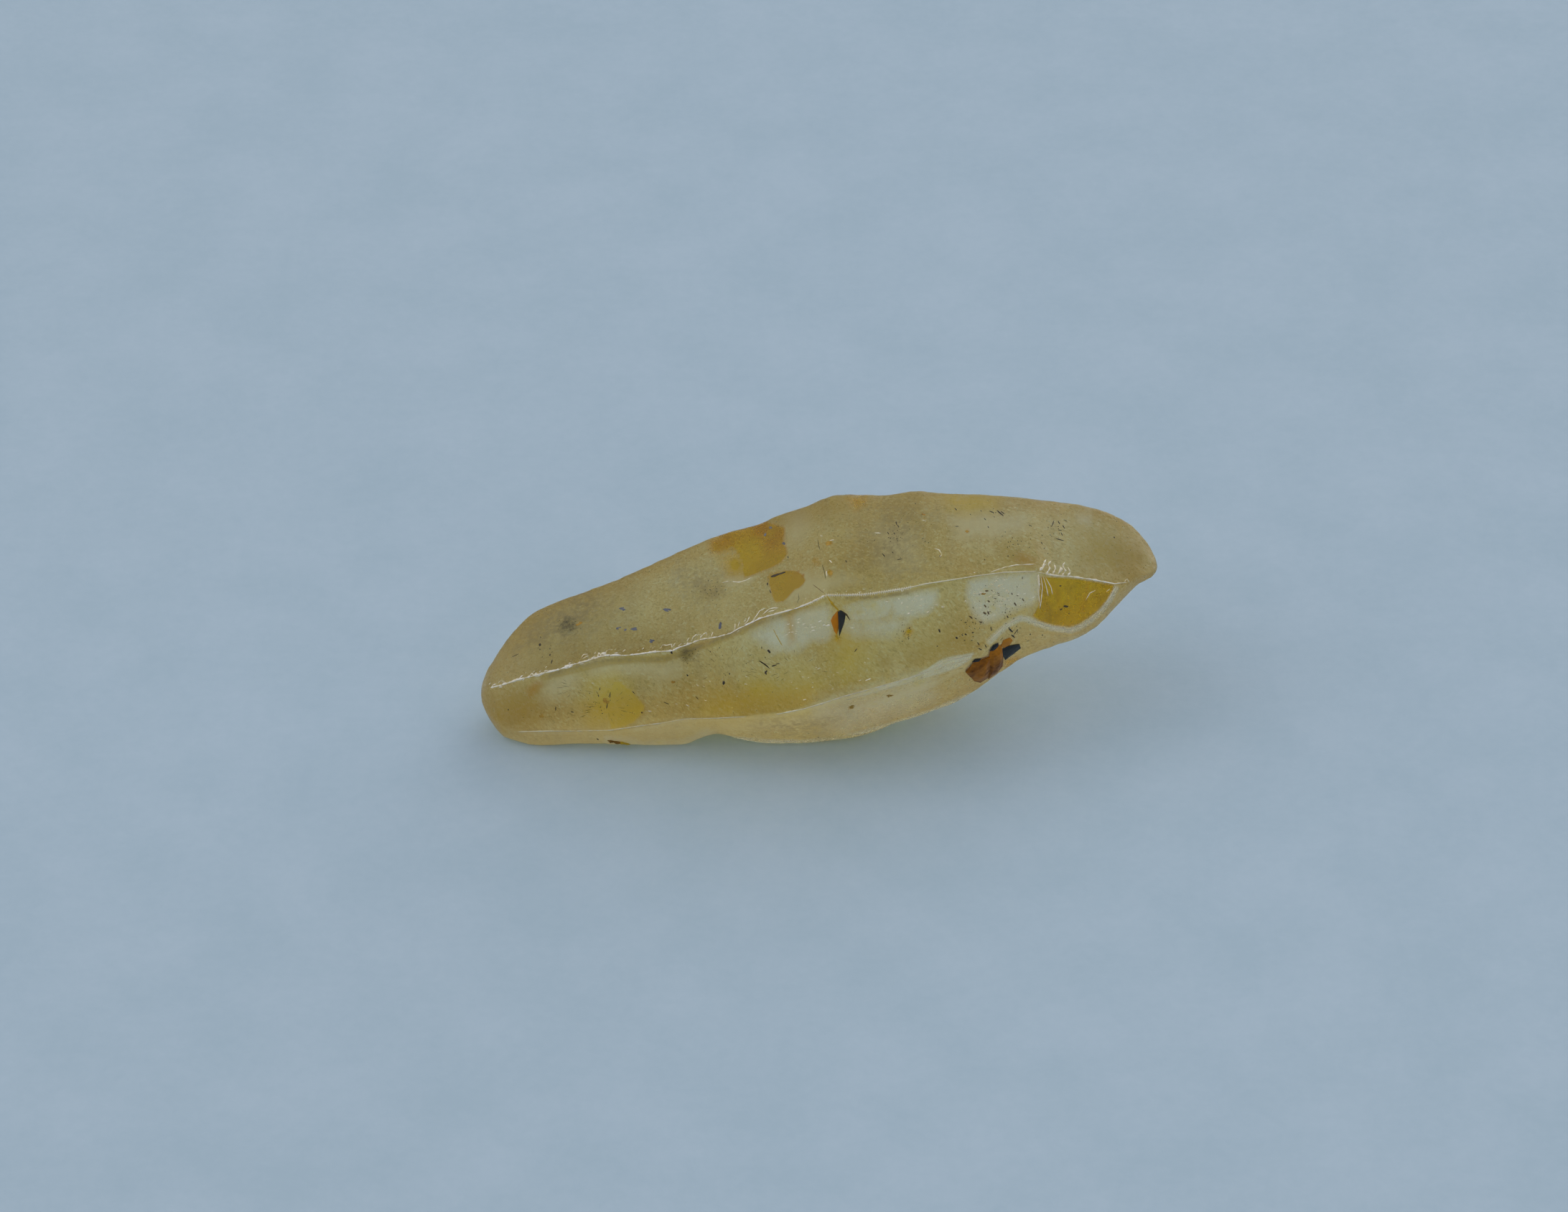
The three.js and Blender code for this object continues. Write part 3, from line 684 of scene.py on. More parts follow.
class SapphireSkin:
    """The patterns and masks that colour, roughen and raise the crystal's skin."""

    def __init__(self, nodes):
        self.nodes = nodes
        self.plain = nodes.place()
        along = nodes.mapped(self.plain, rotation=(0, AXIS_PITCH, 0))
        slanted = nodes.mapped(self.plain, rotation=HATCH_TURN)
        spaces = {
            "plain": self.plain,
            "across": nodes.mapped(along, scale=ACROSS_STRETCH),
            "hatched": nodes.mapped(slanted, scale=HATCH_STRETCH),
        }
        self.patterns = {name: nodes.noise(spaces[space], scale, **settings)
                         for name, (space, scale, settings) in PATTERNS.items()}
        self.hidden = nodes.attribute("hidden")
        skin_share = nodes.math("MULTIPLY", self.patterns["skin"], 1 - BLOTCH_IN_FRAY)
        fray = nodes.math("MULTIPLY_ADD", self.patterns["blotch"], BLOTCH_IN_FRAY, skin_share)
        self.fray = nodes.math("SUBTRACT", fray, 0.5)

    def mask(self, kind, rag, limit=1.0):
        """How much of a stain, of painted shade and of painted light lies here, its edge frayed by
        noise.
        """
        frayed = self.nodes.math("MULTIPLY_ADD", self.fray, rag, self.nodes.attribute(kind))
        return self.nodes.ramp(frayed, -0.5, 0.5, 0.0, limit)

    def faded(self, pattern, low, high, limit=1.0):
        return self.nodes.ramp(self.patterns[pattern], low, high, 0.0, limit)

    def honey(self):
        """The colour of the bare skin."""
        tint = HONEY_PALE
        for pattern, low, high, strength, colour in HONEY_LAYERS:
            tint = self.nodes.mix(self.faded(pattern, low, high, strength), tint, colour)
        return tint

    # Lays the stains, the painted shade and the painted light over the bare colour.
    def stained(self, tint, masks):
        for kind, _, _, colour, *second in STAINS_AND_PAINTED_LIGHT:
            if second:
                deeper, pattern, low, high = second
                colour = self.nodes.mix(self.faded(pattern, low, high), colour, deeper)
            tint = self.nodes.mix(masks[kind], tint, colour)
        for kind, rag, least, most, colour in DARK_HAZE_AND_SHADE:
            speckle = self.nodes.ramp(self.patterns["mottle"], *SPECKLES, least, most)
            share = self.nodes.math("MULTIPLY", self.mask(kind, rag), speckle)
            tint = self.nodes.mix(share, tint, colour)
        return tint

    def plainer_behind(self, tint):
        """The hidden sides: pale, with a few soft stains."""
        cover = self.nodes.math("MULTIPLY", self.hidden, BACK_COVER)
        tint = self.nodes.mix(cover, tint, BACK_SKIN)
        for scale, low, high, strength, colour in BACK_STAINS:
            spot = self.nodes.noise(self.plain, scale, detail=4, distortion=0.6)
            share = self.nodes.ramp(spot, low, high, 0.0, strength)
            tint = self.nodes.mix(self.nodes.math("MULTIPLY", share, self.hidden), tint, colour)
        return tint

    def roughness(self, masks):
        rough = self.nodes.ramp(self.patterns["skin"], *SKIN_SPAN, *SKIN_ROUGHNESS)
        polished = self.nodes.math("MAXIMUM", masks["amber"], masks["leaf"])
        polished = self.nodes.math("MAXIMUM", masks["clear"], polished)
        for mask, change in ((polished, POLISH), (self.hidden, BACK_ROUGHNESS),
                             (masks["frost"], FROSTING)):
            rough = self.nodes.math("MULTIPLY_ADD", mask, change, rough)
        return rough

    def relief(self):
        height = self.patterns["skin"]
        for pattern in ("blotch", "growth", "hatch"):
            height = self.nodes.math("MULTIPLY_ADD", self.patterns[pattern], RELIEF_SHARE, height)
        calm = self.nodes.math("MULTIPLY_ADD", self.hidden, BACK_RELIEF_LOSS, 1.0)
        return self.nodes.math("MULTIPLY", height, calm)


def sapphire_material():
    """Clear yellow sapphire under a thin iron-stained skin, with polished and frosted places,
    painted shade along ridges and edges, and painted pale windows.
    """
    material, nodes, surface, output = new_material("sapphire")
    skin = SapphireSkin(nodes)
    masks = {kind: skin.mask(kind, rag, limit) for kind, rag, limit, *_ in STAINS_AND_PAINTED_LIGHT}
    tint = skin.plainer_behind(skin.stained(skin.honey(), masks))
    bump = nodes.add("Bump", {"Height": skin.relief(), "Strength": SKIN_BUMP,
                              "Distance": SKIN_BUMP_HEIGHT})
    nodes.put(tint, surface.inputs["Base Color"])
    nodes.put(skin.roughness(masks), surface.inputs["Roughness"])
    nodes.put(bump.outputs["Normal"], surface.inputs["Normal"])
    for name, value in SAPPHIRE.items():
        surface.inputs[name].default_value = value
    absorb = nodes.add("VolumeAbsorption", ABSORPTION)
    nodes.put(absorb.outputs[0], output.inputs["Volume"])
    return material


# ---- Camera, floor and light ----------------------------------------------------------------

def make_camera():
    data = bpy.data.cameras.new("camera")
    data.lens = CAMERA_LENS
    data.sensor_width = SENSOR_WIDTH
    data.clip_start = NEAREST_SEEN
    camera = bpy.data.objects.new("camera", data)
    back = Vector((0, -math.cos(CAMERA_ELEVATION), math.sin(CAMERA_ELEVATION)))
    camera.location = CAMERA_TARGET + back * CAMERA_DISTANCE
    camera.rotation_euler = (math.pi / 2 - CAMERA_ELEVATION, 0, 0)
    bpy.context.scene.collection.objects.link(camera)
    bpy.context.scene.camera = camera
    bpy.context.view_layer.update()
    return camera


def make_floor():
    bm = bmesh.new()
    bmesh.ops.create_grid(bm, x_segments=FLOOR_CELLS, y_segments=FLOOR_CELLS, size=FLOOR_REACH)
    bmesh.ops.translate(bm, verts=bm.verts, vec=(0, 0, -FLOOR_GAP))
    floor = new_object("floor", bm, finish("pale_paper"))


def make_room_light():
    """A dim room with broad soft lights: left, behind, and two low ones at the right."""
    world = bpy.data.worlds.new("studio")
    world.use_nodes = True
    nodes = Nodes(world.node_tree)
    direction = nodes.add("TexCoord").outputs["Generated"]
    glow = AMBIENT
    for compass, elevation, strength, tightness in SOFT_LIGHTS:
        turn, rise = math.radians(compass), math.radians(elevation)
        middle = Vector((math.sin(turn) * math.cos(rise), math.cos(turn) * math.cos(rise),
                         math.sin(rise)))
        towards = nodes.add("VectorMath", {0: direction, 1: middle}, operation="DOT_PRODUCT")
        near = nodes.math("POWER", nodes.math("MAXIMUM", towards.outputs["Value"]), tightness)
        glow = nodes.math("MULTIPLY_ADD", near, strength, glow)
    background = world.node_tree.nodes["Background"]
    nodes.put(glow, background.inputs["Strength"])
    background.inputs["Color"].default_value = (1, 1, 1, 1)
    bpy.context.scene.world = world
    bpy.context.scene.view_settings.view_transform = "Standard"


def make_lamp():
    """A weak warm lamp, low at the right front, in a narrow beam on the crystal."""
    data = bpy.data.lights.new("low_fill", "SPOT")
    data.energy = LAMP_POWER
    data.color = LAMP_COLOUR
    data.spot_size = LAMP_SPREAD
    data.spot_blend = 1.0
    data.shadow_soft_size = LAMP_RADIUS
    lamp = bpy.data.objects.new("low_fill", data)
    lamp.location = LAMP_PLACE
    lamp.rotation_euler = (LAMP_AIM - LAMP_PLACE).to_track_quat("-Z", "Y").to_euler()
    bpy.context.scene.collection.objects.link(lamp)


# ---- The crystal's shape --------------------------------------------------------------------

def new_object(name, bm, material):
    mesh = bpy.data.meshes.new(name)
    bm.to_mesh(mesh)
    bm.free()
    mesh.materials.append(material)
    item = bpy.data.objects.new(name, mesh)
    bpy.context.scene.collection.objects.link(item)
    return item


def smooth_object(name, mesh, material):
    mesh.name = name
    mesh.polygons.foreach_set("use_smooth", [True] * len(mesh.polygons))
    mesh.materials.clear()
    mesh.materials.append(material)
    item = bpy.data.objects.new(name, mesh)
    bpy.context.scene.collection.objects.link(item)
    return item


def subdivided(coarse):
    """The smooth mesh that a coarse one stands for. The coarse one is used up."""
    rounding = bpy.data.objects.new("rounding", coarse)
    bpy.context.scene.collection.objects.link(rounding)
    smooth = rounding.modifiers.new("rounding", "SUBSURF")
    smooth.levels = smooth.render_levels = SUBDIVISIONS
    fine = bpy.data.meshes.new_from_object(
        rounding.evaluated_get(bpy.context.evaluated_depsgraph_get()))
    bpy.data.objects.remove(rounding)
    bpy.data.meshes.remove(coarse)
    return fine


def fine_crystal_mesh():
    """The CAD crystal with its vertices merged, its worn ridges rounded off, its faces smooth."""
    bm = bmesh.new()
    bm.from_mesh(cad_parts[NODE].data)
    bmesh.ops.remove_doubles(bm, verts=bm.verts, dist=MERGE_DISTANCE)
    bmesh.ops.join_triangles(bm, faces=bm.faces, angle_face_threshold=JOIN_BEND,
                             angle_shape_threshold=JOIN_SHAPE)
    coarse = bpy.data.meshes.new("coarse")
    bm.to_mesh(coarse)
    bm.free()
    fine = subdivided(coarse)
    bm = bmesh.new()
    bm.from_mesh(fine)
    flat = [v for v in bm.verts if v.co.z > SMOOTHED_ABOVE
            and max(e.calc_face_angle(0) for e in v.link_edges) < LEDGE_BEND]
    for _ in range(SMOOTHING_ROUNDS):
        bmesh.ops.smooth_vert(bm, verts=flat, factor=SMOOTHING, use_axis_x=True,
                              use_axis_y=True, use_axis_z=True)
    bm.to_mesh(fine)
    bm.free()
    return fine


def rough_height(place, height, scale, settings):
    return height * noise.fractal(place * scale, *settings)


def sculpt_skin(mesh):
    """Water-worn relief: soft dents, steps of growth across the long axis, and fine pitting."""
    low, high = (Vector(corner) for corner in CAD_BOX)
    normals = [vertex.normal.copy() for vertex in mesh.vertices]
    for vertex, normal in zip(mesh.vertices, normals):
        place = vertex.co / MM
        steps = Vector((place.dot(AXIS) * GROWTH_STEPS_ALONG, place.y * GROWTH_STEPS_ACROSS,
                        place.z * GROWTH_STEPS_ACROSS))
        raised = (rough_height(place, *DENT) + GROWTH_STEP * noise.noise(steps)
                  + rough_height(place, *PIT))
        rest = min(1.0, place.z / RELIEF_FADE)
        moved = vertex.co + normal * raised * MM * rest
        vertex.co = [min(max(c, a), b) for c, a, b in zip(moved, low, high)]


# ---- Stains, painted shade and painted light, as soft masks ---------------------------------

MASK_REACH = 3.0  # a mask tells the distance to its edge up to this many soft widths
FACING_EDGE = 0.02  # skin that is turned further from the eye than this gets no stain
TURNED_AWAY = 0.3  # and turned away by this much it counts as hidden


def seen_places(points, camera):
    """Where points land in the camera's picture."""
    world = np.array(camera.matrix_world.inverted())
    local = points @ world[:3, :3].T + world[:3, 3]
    return np.stack([PICTURE[0] / 2 - FOCAL * local[:, 0] / local[:, 2],
                     PICTURE[1] / 2 + FOCAL * local[:, 1] / local[:, 2]], axis=1)


def distance_to_run(places, run):
    best = np.full(len(places), np.inf)
    for start, end in zip(run, run[1:]):
        a, b = np.array(start, float), np.array(end, float)
        share = np.clip((places - a) @ (b - a) / ((b - a) @ (b - a)), 0, 1)
        best = np.minimum(best, np.linalg.norm(places - a - share[:, None] * (b - a), axis=1))
    return best


def depth_in_outline(places, outline):
    """Distance to a closed outline, positive inside it."""
    closed = outline + outline[:1]
    inside = np.zeros(len(places), bool)
    for (ax, ay), (bx, by) in zip(closed, closed[1:]):
        if ay != by:
            beside = places[:, 0] < ax + (places[:, 1] - ay) / (by - ay) * (bx - ax)
            inside ^= ((ay > places[:, 1]) != (by > places[:, 1])) & beside
    return distance_to_run(places, closed) * np.where(inside, 1, -1)


def vertex_vectors(mesh, what):
    values = np.empty(len(mesh.vertices) * 3)
    mesh.vertices.foreach_get(what, values)
    return values.reshape(-1, 3)


def paint_masks(mesh, camera):
    """Each kind of stain, painted shade and painted light as an attribute: soft widths inside its
    edge, negative outside it.
    """
    points, normals = vertex_vectors(mesh, "co"), vertex_vectors(mesh, "normal")
    to_eye = np.array(camera.location) - points
    facing = (to_eye * normals).sum(1) / np.linalg.norm(to_eye, axis=1)
    places = seen_places(points, camera)
    masks = {kind: np.full(len(points), -MASK_REACH) for kind in ZONES}
    for kind, zones in ZONES.items():
        for soft, outline in zones:
            masks[kind] = np.maximum(masks[kind], depth_in_outline(places, outline) / soft)
    for kind, soft, half_width, run in STREAKS:
        depth = half_width - distance_to_run(places, run)
        masks[kind] = np.maximum(masks[kind], depth / soft)
    for kind, mask in masks.items():
        masks[kind] = np.where(facing > FACING_EDGE, np.minimum(mask, MASK_REACH), -MASK_REACH)
    masks["hidden"] = np.clip(-facing / TURNED_AWAY, 0, 1)
    for kind, mask in masks.items():
        mesh.attributes.new(kind, "FLOAT", "POINT").data.foreach_set("value", mask)


def make_crystal(camera):
    mesh = fine_crystal_mesh()
    sculpt_skin(mesh)
    paint_masks(mesh, camera)
    crystal = smooth_object("crystal", mesh, sapphire_material())
    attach(crystal, BODY)
    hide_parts(NODE)
    return crystal


# ---- Finding places on the skin -------------------------------------------------------------

class Skin:
    """Finds places on the crystal's surface."""

    SLIDE = 0.05
    ROUND_ABOUT = 20 * MM  # a ray towards the axis starts this far from it
    RIDGE_SPACING = 0.15

    def __init__(self, crystal, camera):
        mesh = crystal.data
        self.tree = BVHTree.FromPolygons([v.co for v in mesh.vertices],
                                         [p.vertices for p in mesh.polygons])
        self.camera = camera

    def under(self, x, y):
        """The point and the outward normal of the skin that the picture shows at (x, y)."""
        local = Vector((x - PICTURE[0] / 2, PICTURE[1] / 2 - y, -FOCAL))
        ray = (self.camera.matrix_world.to_3x3() @ local).normalized()
        point, normal, _, _ = self.tree.ray_cast(self.camera.location, ray)
        return None if point is None else (point, normal)

    def under_or_beside(self, x, y, middle):
        """As `under`, but a place off the crystal slides towards `middle` until it meets it."""
        spot = Vector((x, y))
        while not self.under(*spot):
            spot = spot.lerp(middle, self.SLIDE)
        return self.under(*spot)

    def along(self, run, spacing):
        """Points and normals on the skin, closely spaced along a run of picture places."""
        found = []
        for start, end in zip(run, run[1:]):
            a, b = Vector(start), Vector(end)
            steps = max(1, round((b - a).length / spacing))
            found += [self.under(*a.lerp(b, i / steps)) for i in range(steps)]
        found.append(self.under(*run[-1]))
        return [hit for hit in found if hit]

    def ridge(self, start, end, low, high):
        """The outermost points between two directions around the long axis, in degrees."""
        found = []
        along = start
        while along <= end:
            centre = Vector((0, 0, AXIS_HEIGHT)) + AXIS * along * MM
            hits = [self.from_outside(centre, half_degree / 2)
                    for half_degree in range(2 * low, 2 * high + 1)]
            hits = [hit for hit in hits if hit]
            if hits:
                found.append(max(hits, key=lambda hit: (hit[0] - centre).length))
            along += self.RIDGE_SPACING
        return found

    def from_outside(self, centre, degrees):
        """Where a ray from outside meets the skin on its way to the long axis."""
        up = Vector((-AXIS.z, 0, AXIS.x))
        turn = math.radians(degrees)
        ray = up * math.cos(turn) + Vector((0, 1, 0)) * math.sin(turn)
        point, normal, _, _ = self.tree.ray_cast(centre + ray * self.ROUND_ABOUT, -ray)
        return None if point is None else (point, normal)


def ride(item):
    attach(item, BODY)


# ---- Threads: bruised ridges and painted highlights, chips, cracks and hairs ----------------

# How a thread's radius wanders along it: bends to a millimetre and the fractal's settings.
WANDER_SCALE = 9.0
WANDER = (0.7, 2.0, 3)
THINNEST = 0.25
TIP = 0.6  # how far before its first point a thread would come to nothing
LIFT = 0.2  # how much of its radius a thread's middle stands above the skin


def make_threads(name, runs, material):
    """Thin rounded threads, half sunk in the skin. A run is its points and the radius at each."""
    curve = bpy.data.curves.new(name, "CURVE")
    curve.dimensions = "3D"
    curve.bevel_depth = 1.0
    curve.bevel_resolution = 1
    curve.use_fill_caps = True
    for points, radii in runs:
        spline = curve.splines.new("POLY")
        spline.points.add(len(points) - 1)
        for spot, point, radius in zip(spline.points, points, radii):
            spot.co = (*point, 1)
            spot.radius = radius
    holder = bpy.data.objects.new(name + "_curve", curve)
    bpy.context.scene.collection.objects.link(holder)
    mesh = bpy.data.meshes.new_from_object(holder)
    bpy.data.objects.remove(holder)
    bpy.data.curves.remove(curve)
    ride(smooth_object(name, mesh, material))


def worn_run(hits, radius, seed, rough=0.5, taper=3):
    """A thread along hits on the skin, with a radius that wanders and ends that thin out."""
    points, radii = [], []
    for index, (point, normal) in enumerate(hits):
        wander = noise.fractal(point / MM * WANDER_SCALE + Vector((seed, 0, 0)), *WANDER)
        end = min(index, len(hits) - 1 - index)
        size = radius * MM * max(THINNEST, 1 + rough * wander) * min(1, (end + TIP) / taper)
        points.append(point + normal * size * LIFT)
        radii.append(size)
    return points, radii


def stroke(draw, x, y, across, down):
    """A short run from (x, y) to a random place near it."""
    return [(x, y), (x + draw.uniform(*across), y + draw.uniform(*down))]


# The upper ridge's bright line, a bruised edge and painted highlight: part of the run, radius in
# millimetres, how uneven it is.
LIP_LINES = [
    (UPPER_RIDGE[:6], 0.026, 1.2), (UPPER_RIDGE[5:19], 0.022, 1.0),
    (UPPER_RIDGE[18:27], 0.022, 0.9), (LEAF_RIM, 0.022, 1.0),
]
LIP_SPACING = 1.5
LIP_SEED = 1.0
SPLINTERS = 46  # small bruises over the left part of the line
SPLINTER_SPAN = (684, 860)
SPLINTER_DRIFT = (-3.5, 2.5)
SPLINTER_REACH = ((2, 7), (0, -3))
SPLINTER_RADIUS = (0.012, 0.026)
SPLINTER_SEED = 8
FINE_SPACING = 1.2
TICKS = 48  # the row of fine teeth across the line
TICK_START = 1122
TICK_PITCH = 3.1
TICK_HALF_HEIGHT = 2.5
TICK_SLANT = 1.2
TICK_RADIUS = 0.011


def ridge_height(x):
    """How far down the picture the upper ridge runs at x."""
    for (ax, ay), (bx, by) in zip(UPPER_RIDGE, UPPER_RIDGE[1:]):
        if ax <= x <= bx:
            return ay + (by - ay) * (x - ax) / (bx - ax)
    raise ValueError("off the ridge")


def make_ridge_lip(skin):
    """The bright line along the upper front ridge and the rim of the leaf facet: a bruised edge,
    whitened as a painted highlight.
    """
    runs = [worn_run(skin.along(route, LIP_SPACING), radius, LIP_SEED, rough=rough)
            for route, radius, rough in LIP_LINES]
    draw = random.Random(SPLINTER_SEED)
    for _ in range(SPLINTERS):
        x = draw.uniform(*SPLINTER_SPAN)
        run = stroke(draw, x, ridge_height(x) + draw.uniform(*SPLINTER_DRIFT), *SPLINTER_REACH)
        hits = skin.along(run, FINE_SPACING)
        runs.append(worn_run(hits, draw.uniform(*SPLINTER_RADIUS), x, taper=2))
    for tick in range(TICKS):
        x = TICK_START + TICK_PITCH * tick
        y = ridge_height(x)
        run = [(x, y + TICK_HALF_HEIGHT), (x + TICK_SLANT, y - TICK_HALF_HEIGHT)]
        runs.append(worn_run(skin.along(run, FINE_SPACING), TICK_RADIUS, x, rough=0.4, taper=1))
    make_threads("ridge_lip", runs, finish("bruised_ridge_highlight"))


# Fainter lines: the run, its radius in millimetres, its seed and how uneven it is.
EDGE_LINES = [
    (UPPER_RIDGE[26:], 0.017, 1.0, 0.5),
    (LOWER_RIDGE[:9], 0.013, 2.0, 0.9),
    (LOWER_RIDGE[9:], 0.020, 3.0, 0.9),
    (NOTCH_RIDGE, 0.019, 4.0, 0.35),
]
FAINT_DROP = 6
FAINT_LINE = ([(x, y + FAINT_DROP) for x, y in LOWER_RIDGE[12:]], 0.010, 8.0, 1.6)
# The ridges of the back: from and to along the axis in millimetres, between which directions
# around it in degrees, the radius of the line and its seed.
BACK_LINES = [
    (-8.0, 2.6, 78, 98, 0.020, 5.0),
    (-7.6, 4.0, 144, 168, 0.016, 6.0),
]
EDGE_SPACING = 2.0


def make_worn_edges(skin):
    """Fainter bruised lines: the lower front ridge, the notch, and the ridges of the back."""
    runs = [worn_run(skin.along(route, EDGE_SPACING), radius, seed, rough=rough)
            for route, radius, seed, rough in EDGE_LINES]
    runs += [worn_run(skin.ridge(*span), radius, seed, rough=1.0)
             for *span, radius, seed in BACK_LINES]
    route, radius, seed, rough = FAINT_LINE
    runs.append(worn_run(skin.along(route, EDGE_SPACING), radius, seed, rough=rough))
    make_threads("worn_edges", runs, finish("dull_ridge"))


# Chips, curls and leaf lines: the runs, their spacing, the radius in millimetres, the step in
# seed from one to the next, how uneven they are and over how many points they thin out.
CHIP_KINDS = [
    (CHIPS, 1.5, 0.014, 1.7, 0.8, 2),
    (CURLS, 1.0, 0.024, 1.3, 1.3, 3),
    (LEAF_LINES, 2.0, 0.013, 2.3, 0.5, 3),
]
CHIP_SEED = 11
RIDGE_CHIPS = 70
CHIPPED_RIDGE = UPPER_RIDGE[:29]
RIDGE_CHIP_ACROSS = (-9, 9)
RIDGE_CHIP_UP = (1, 7)
RIDGE_CHIP_REACH = ((1, 3), (-0.5, -3))
RIDGE_CHIP_RADIUS = (0.006, 0.012)
GLINTS = 45  # painted highlights: fine bright strokes over the lower ridge
GLINT_SPAN = (900, 1240)
GLINT_LINE = 992  # how far down the picture the band of glints ends at its left
GLINT_SLOPE = 0.14
GLINT_BAND = (2, 34)
GLINT_REACH = ((-4, 4), (-2, 2))
GLINT_RADIUS = (0.005, 0.010)
FLECK_REACH = ((1.5, 5), (-2.5, 1.5))
FLECK_RADIUS = (0.008, 0.022)
FLECK_SPACING = 1.0


def make_chips(skin):
    """Fresh chips, fine glints painted as highlights, pale flecks, and fine lines at the edge of
    the leaf facet.
    """
    runs = [worn_run(skin.along(run, spacing), radius, index * seed, rough=rough, taper=taper)
            for kind, spacing, radius, seed, rough, taper in CHIP_KINDS
            for index, run in enumerate(kind)]
    draw = random.Random(CHIP_SEED)
    for _ in range(RIDGE_CHIPS):
        x, y = draw.choice(CHIPPED_RIDGE)
        x, y = x + draw.uniform(*RIDGE_CHIP_ACROSS), y - draw.uniform(*RIDGE_CHIP_UP)
        hits = skin.along(stroke(draw, x, y, *RIDGE_CHIP_REACH), FINE_SPACING)
        runs.append(worn_run(hits, draw.uniform(*RIDGE_CHIP_RADIUS), x, taper=1))
    for _ in range(GLINTS):
        x = draw.uniform(*GLINT_SPAN)
        y = GLINT_LINE - (x - GLINT_SPAN[0]) * GLINT_SLOPE - draw.uniform(*GLINT_BAND)
        hits = skin.along(stroke(draw, x, y, *GLINT_REACH), FINE_SPACING)
        runs.append(worn_run(hits, draw.uniform(*GLINT_RADIUS), x, taper=1))
    for middle_x, middle_y, wide, high, count in FLECKS:
        for _ in range(count):
            x, y = draw.gauss(middle_x, wide / 2), draw.gauss(middle_y, high / 2)
            hits = skin.along(stroke(draw, x, y, *FLECK_REACH), FLECK_SPACING)
            runs.append(worn_run(hits, draw.uniform(*FLECK_RADIUS), x, taper=2))
    runs = [run for run in runs if len(run[0]) > 1]
    # The chips piece also holds the glints, painted highlights.
    make_threads("chips", runs, finish("chips_and_glints"))


HAIRS = {"dark_cracks": DARK_THREADS, "rust_hairs": RUST_THREADS, "gold_hairs": GOLD_THREADS}
HAIR_SPACING = 1.5
HAIR_SEED_STEP = 3.1


def make_hairs(name, skin, threads):
    """Thin dark cracks or rust-stained hairs."""
    runs = [worn_run(skin.along(run, HAIR_SPACING), radius, index * HAIR_SEED_STEP)
            for index, (radius, run) in enumerate(threads)]
    make_threads(name, runs, finish(name))


FEATHER_SEED = 21
FEATHER_NEAR = (0.3, 0.8)  # share of the fan's reach at which a hair starts
FEATHER_LENGTH = (5, 11)
FEATHER_FLATNESS = 0.6
FEATHER_RADIUS = (0.004, 0.007)
FEATHER_SPACING = 2.0


def make_feathers(skin):
    """Fans of very fine brown hairs, the feathers of the worn side."""
    draw = random.Random(FEATHER_SEED)
    runs = []
    for x, y, reach, count in FEATHERS:
        for _ in range(count):
            angle = draw.uniform(0, 2 * math.pi)
            near = draw.uniform(*FEATHER_NEAR) * reach
            far = near + draw.uniform(*FEATHER_LENGTH)
            run = [(x + math.cos(angle) * way, y + FEATHER_FLATNESS * math.sin(angle) * way)
                   for way in (near, far)]
            hits = skin.along(run, FEATHER_SPACING)
            runs.append(worn_run(hits, draw.uniform(*FEATHER_RADIUS), x + angle))
    runs = [run for run in runs if len(run[0]) > 1]
    make_threads("feather_hairs", runs, finish("feather_brown"))


# ---- Grains and flakes in the skin ----------------------------------------------------------

GRAIN_SWING = (0.7, 1.12)  # how far a grain's corners lie from its middle, against a smooth one
GRAIN_FLATNESS = 0.5
DARK_SEED = 5
BROWN_SEED = 6
LISTED_WIDTH_SHARE = 0.7  # how wide a grain is made, against the width listed for it
CLUSTER_SIZE = (0.7, 1.6)
CLUSTER_LENGTH = (1, 2.2)
CLUSTER_WIDE = 2  # a cluster's spread, against how far its grains usually lie from its middle
CLUSTER_HIGH = 2.6  # the same down the picture
BACK_GRAINS = 160
BACK_GRAINS_ALONG = (-9, 9)
BACK_GRAINS_AROUND = (60, 230)
BACK_GRAIN_SIZE = (1.0, 3.5)
BACK_GRAIN_LENGTH = (1, 2)
BACK_GRAIN_LOWEST = 0.15 * MM
FLAKE_SCRAPS = 6
FLAKE_SCATTER = (-0.6, 0.6)
FLAKE_LENGTH = (1.0, 1.9)
FLAKE_WIDTH = (0.7, 1.5)
FLAKE_THICKNESS = 0.010 * MM
SHORTEST = 1e-9
# Each kind of flake: the flakes, their finish and the seed.
FLAKES = {
    "blue_flakes": (BLUE_FLAKES, "blue_mica", 3),
    "amber_grains": (AMBER_GRAINS, "amber_rust", 4),
}


def lay_grain(bm, hit, length, width, direction, thickness, draw, divisions=1):
    """One small lump, half sunk in the skin, longest along `direction`."""
    point, normal = hit
    side = direction - normal * direction.dot(normal)
    side = side.normalized() if side.length > SHORTEST else normal.orthogonal().normalized()
    across = normal.cross(side)
    turn = Matrix((side, across, normal)).transposed().to_4x4()
    size = Matrix.Diagonal((length / 2, width / 2, thickness / 2, 1))
    made = bmesh.ops.create_icosphere(bm, subdivisions=divisions, radius=1.0,
                                      matrix=Matrix.Translation(point) @ turn @ size)
    for vertex in made["verts"]:
        vertex.co = point + (vertex.co - point) * draw.uniform(*GRAIN_SWING)


def lay_long_grains(bm, skin, grains, draw):
    """Grains that each reach from one place to another."""
    for x0, y0, x1, y1, width in grains:
        first, last, middle = (skin.under(x0, y0), skin.under(x1, y1),
                               skin.under((x0 + x1) / 2, (y0 + y1) / 2))
        reach = last[0] - first[0]
        wide = width * LISTED_WIDTH_SHARE * STEP
        lay_grain(bm, middle, reach.length + wide, wide, reach, wide * GRAIN_FLATNESS, draw, 2)


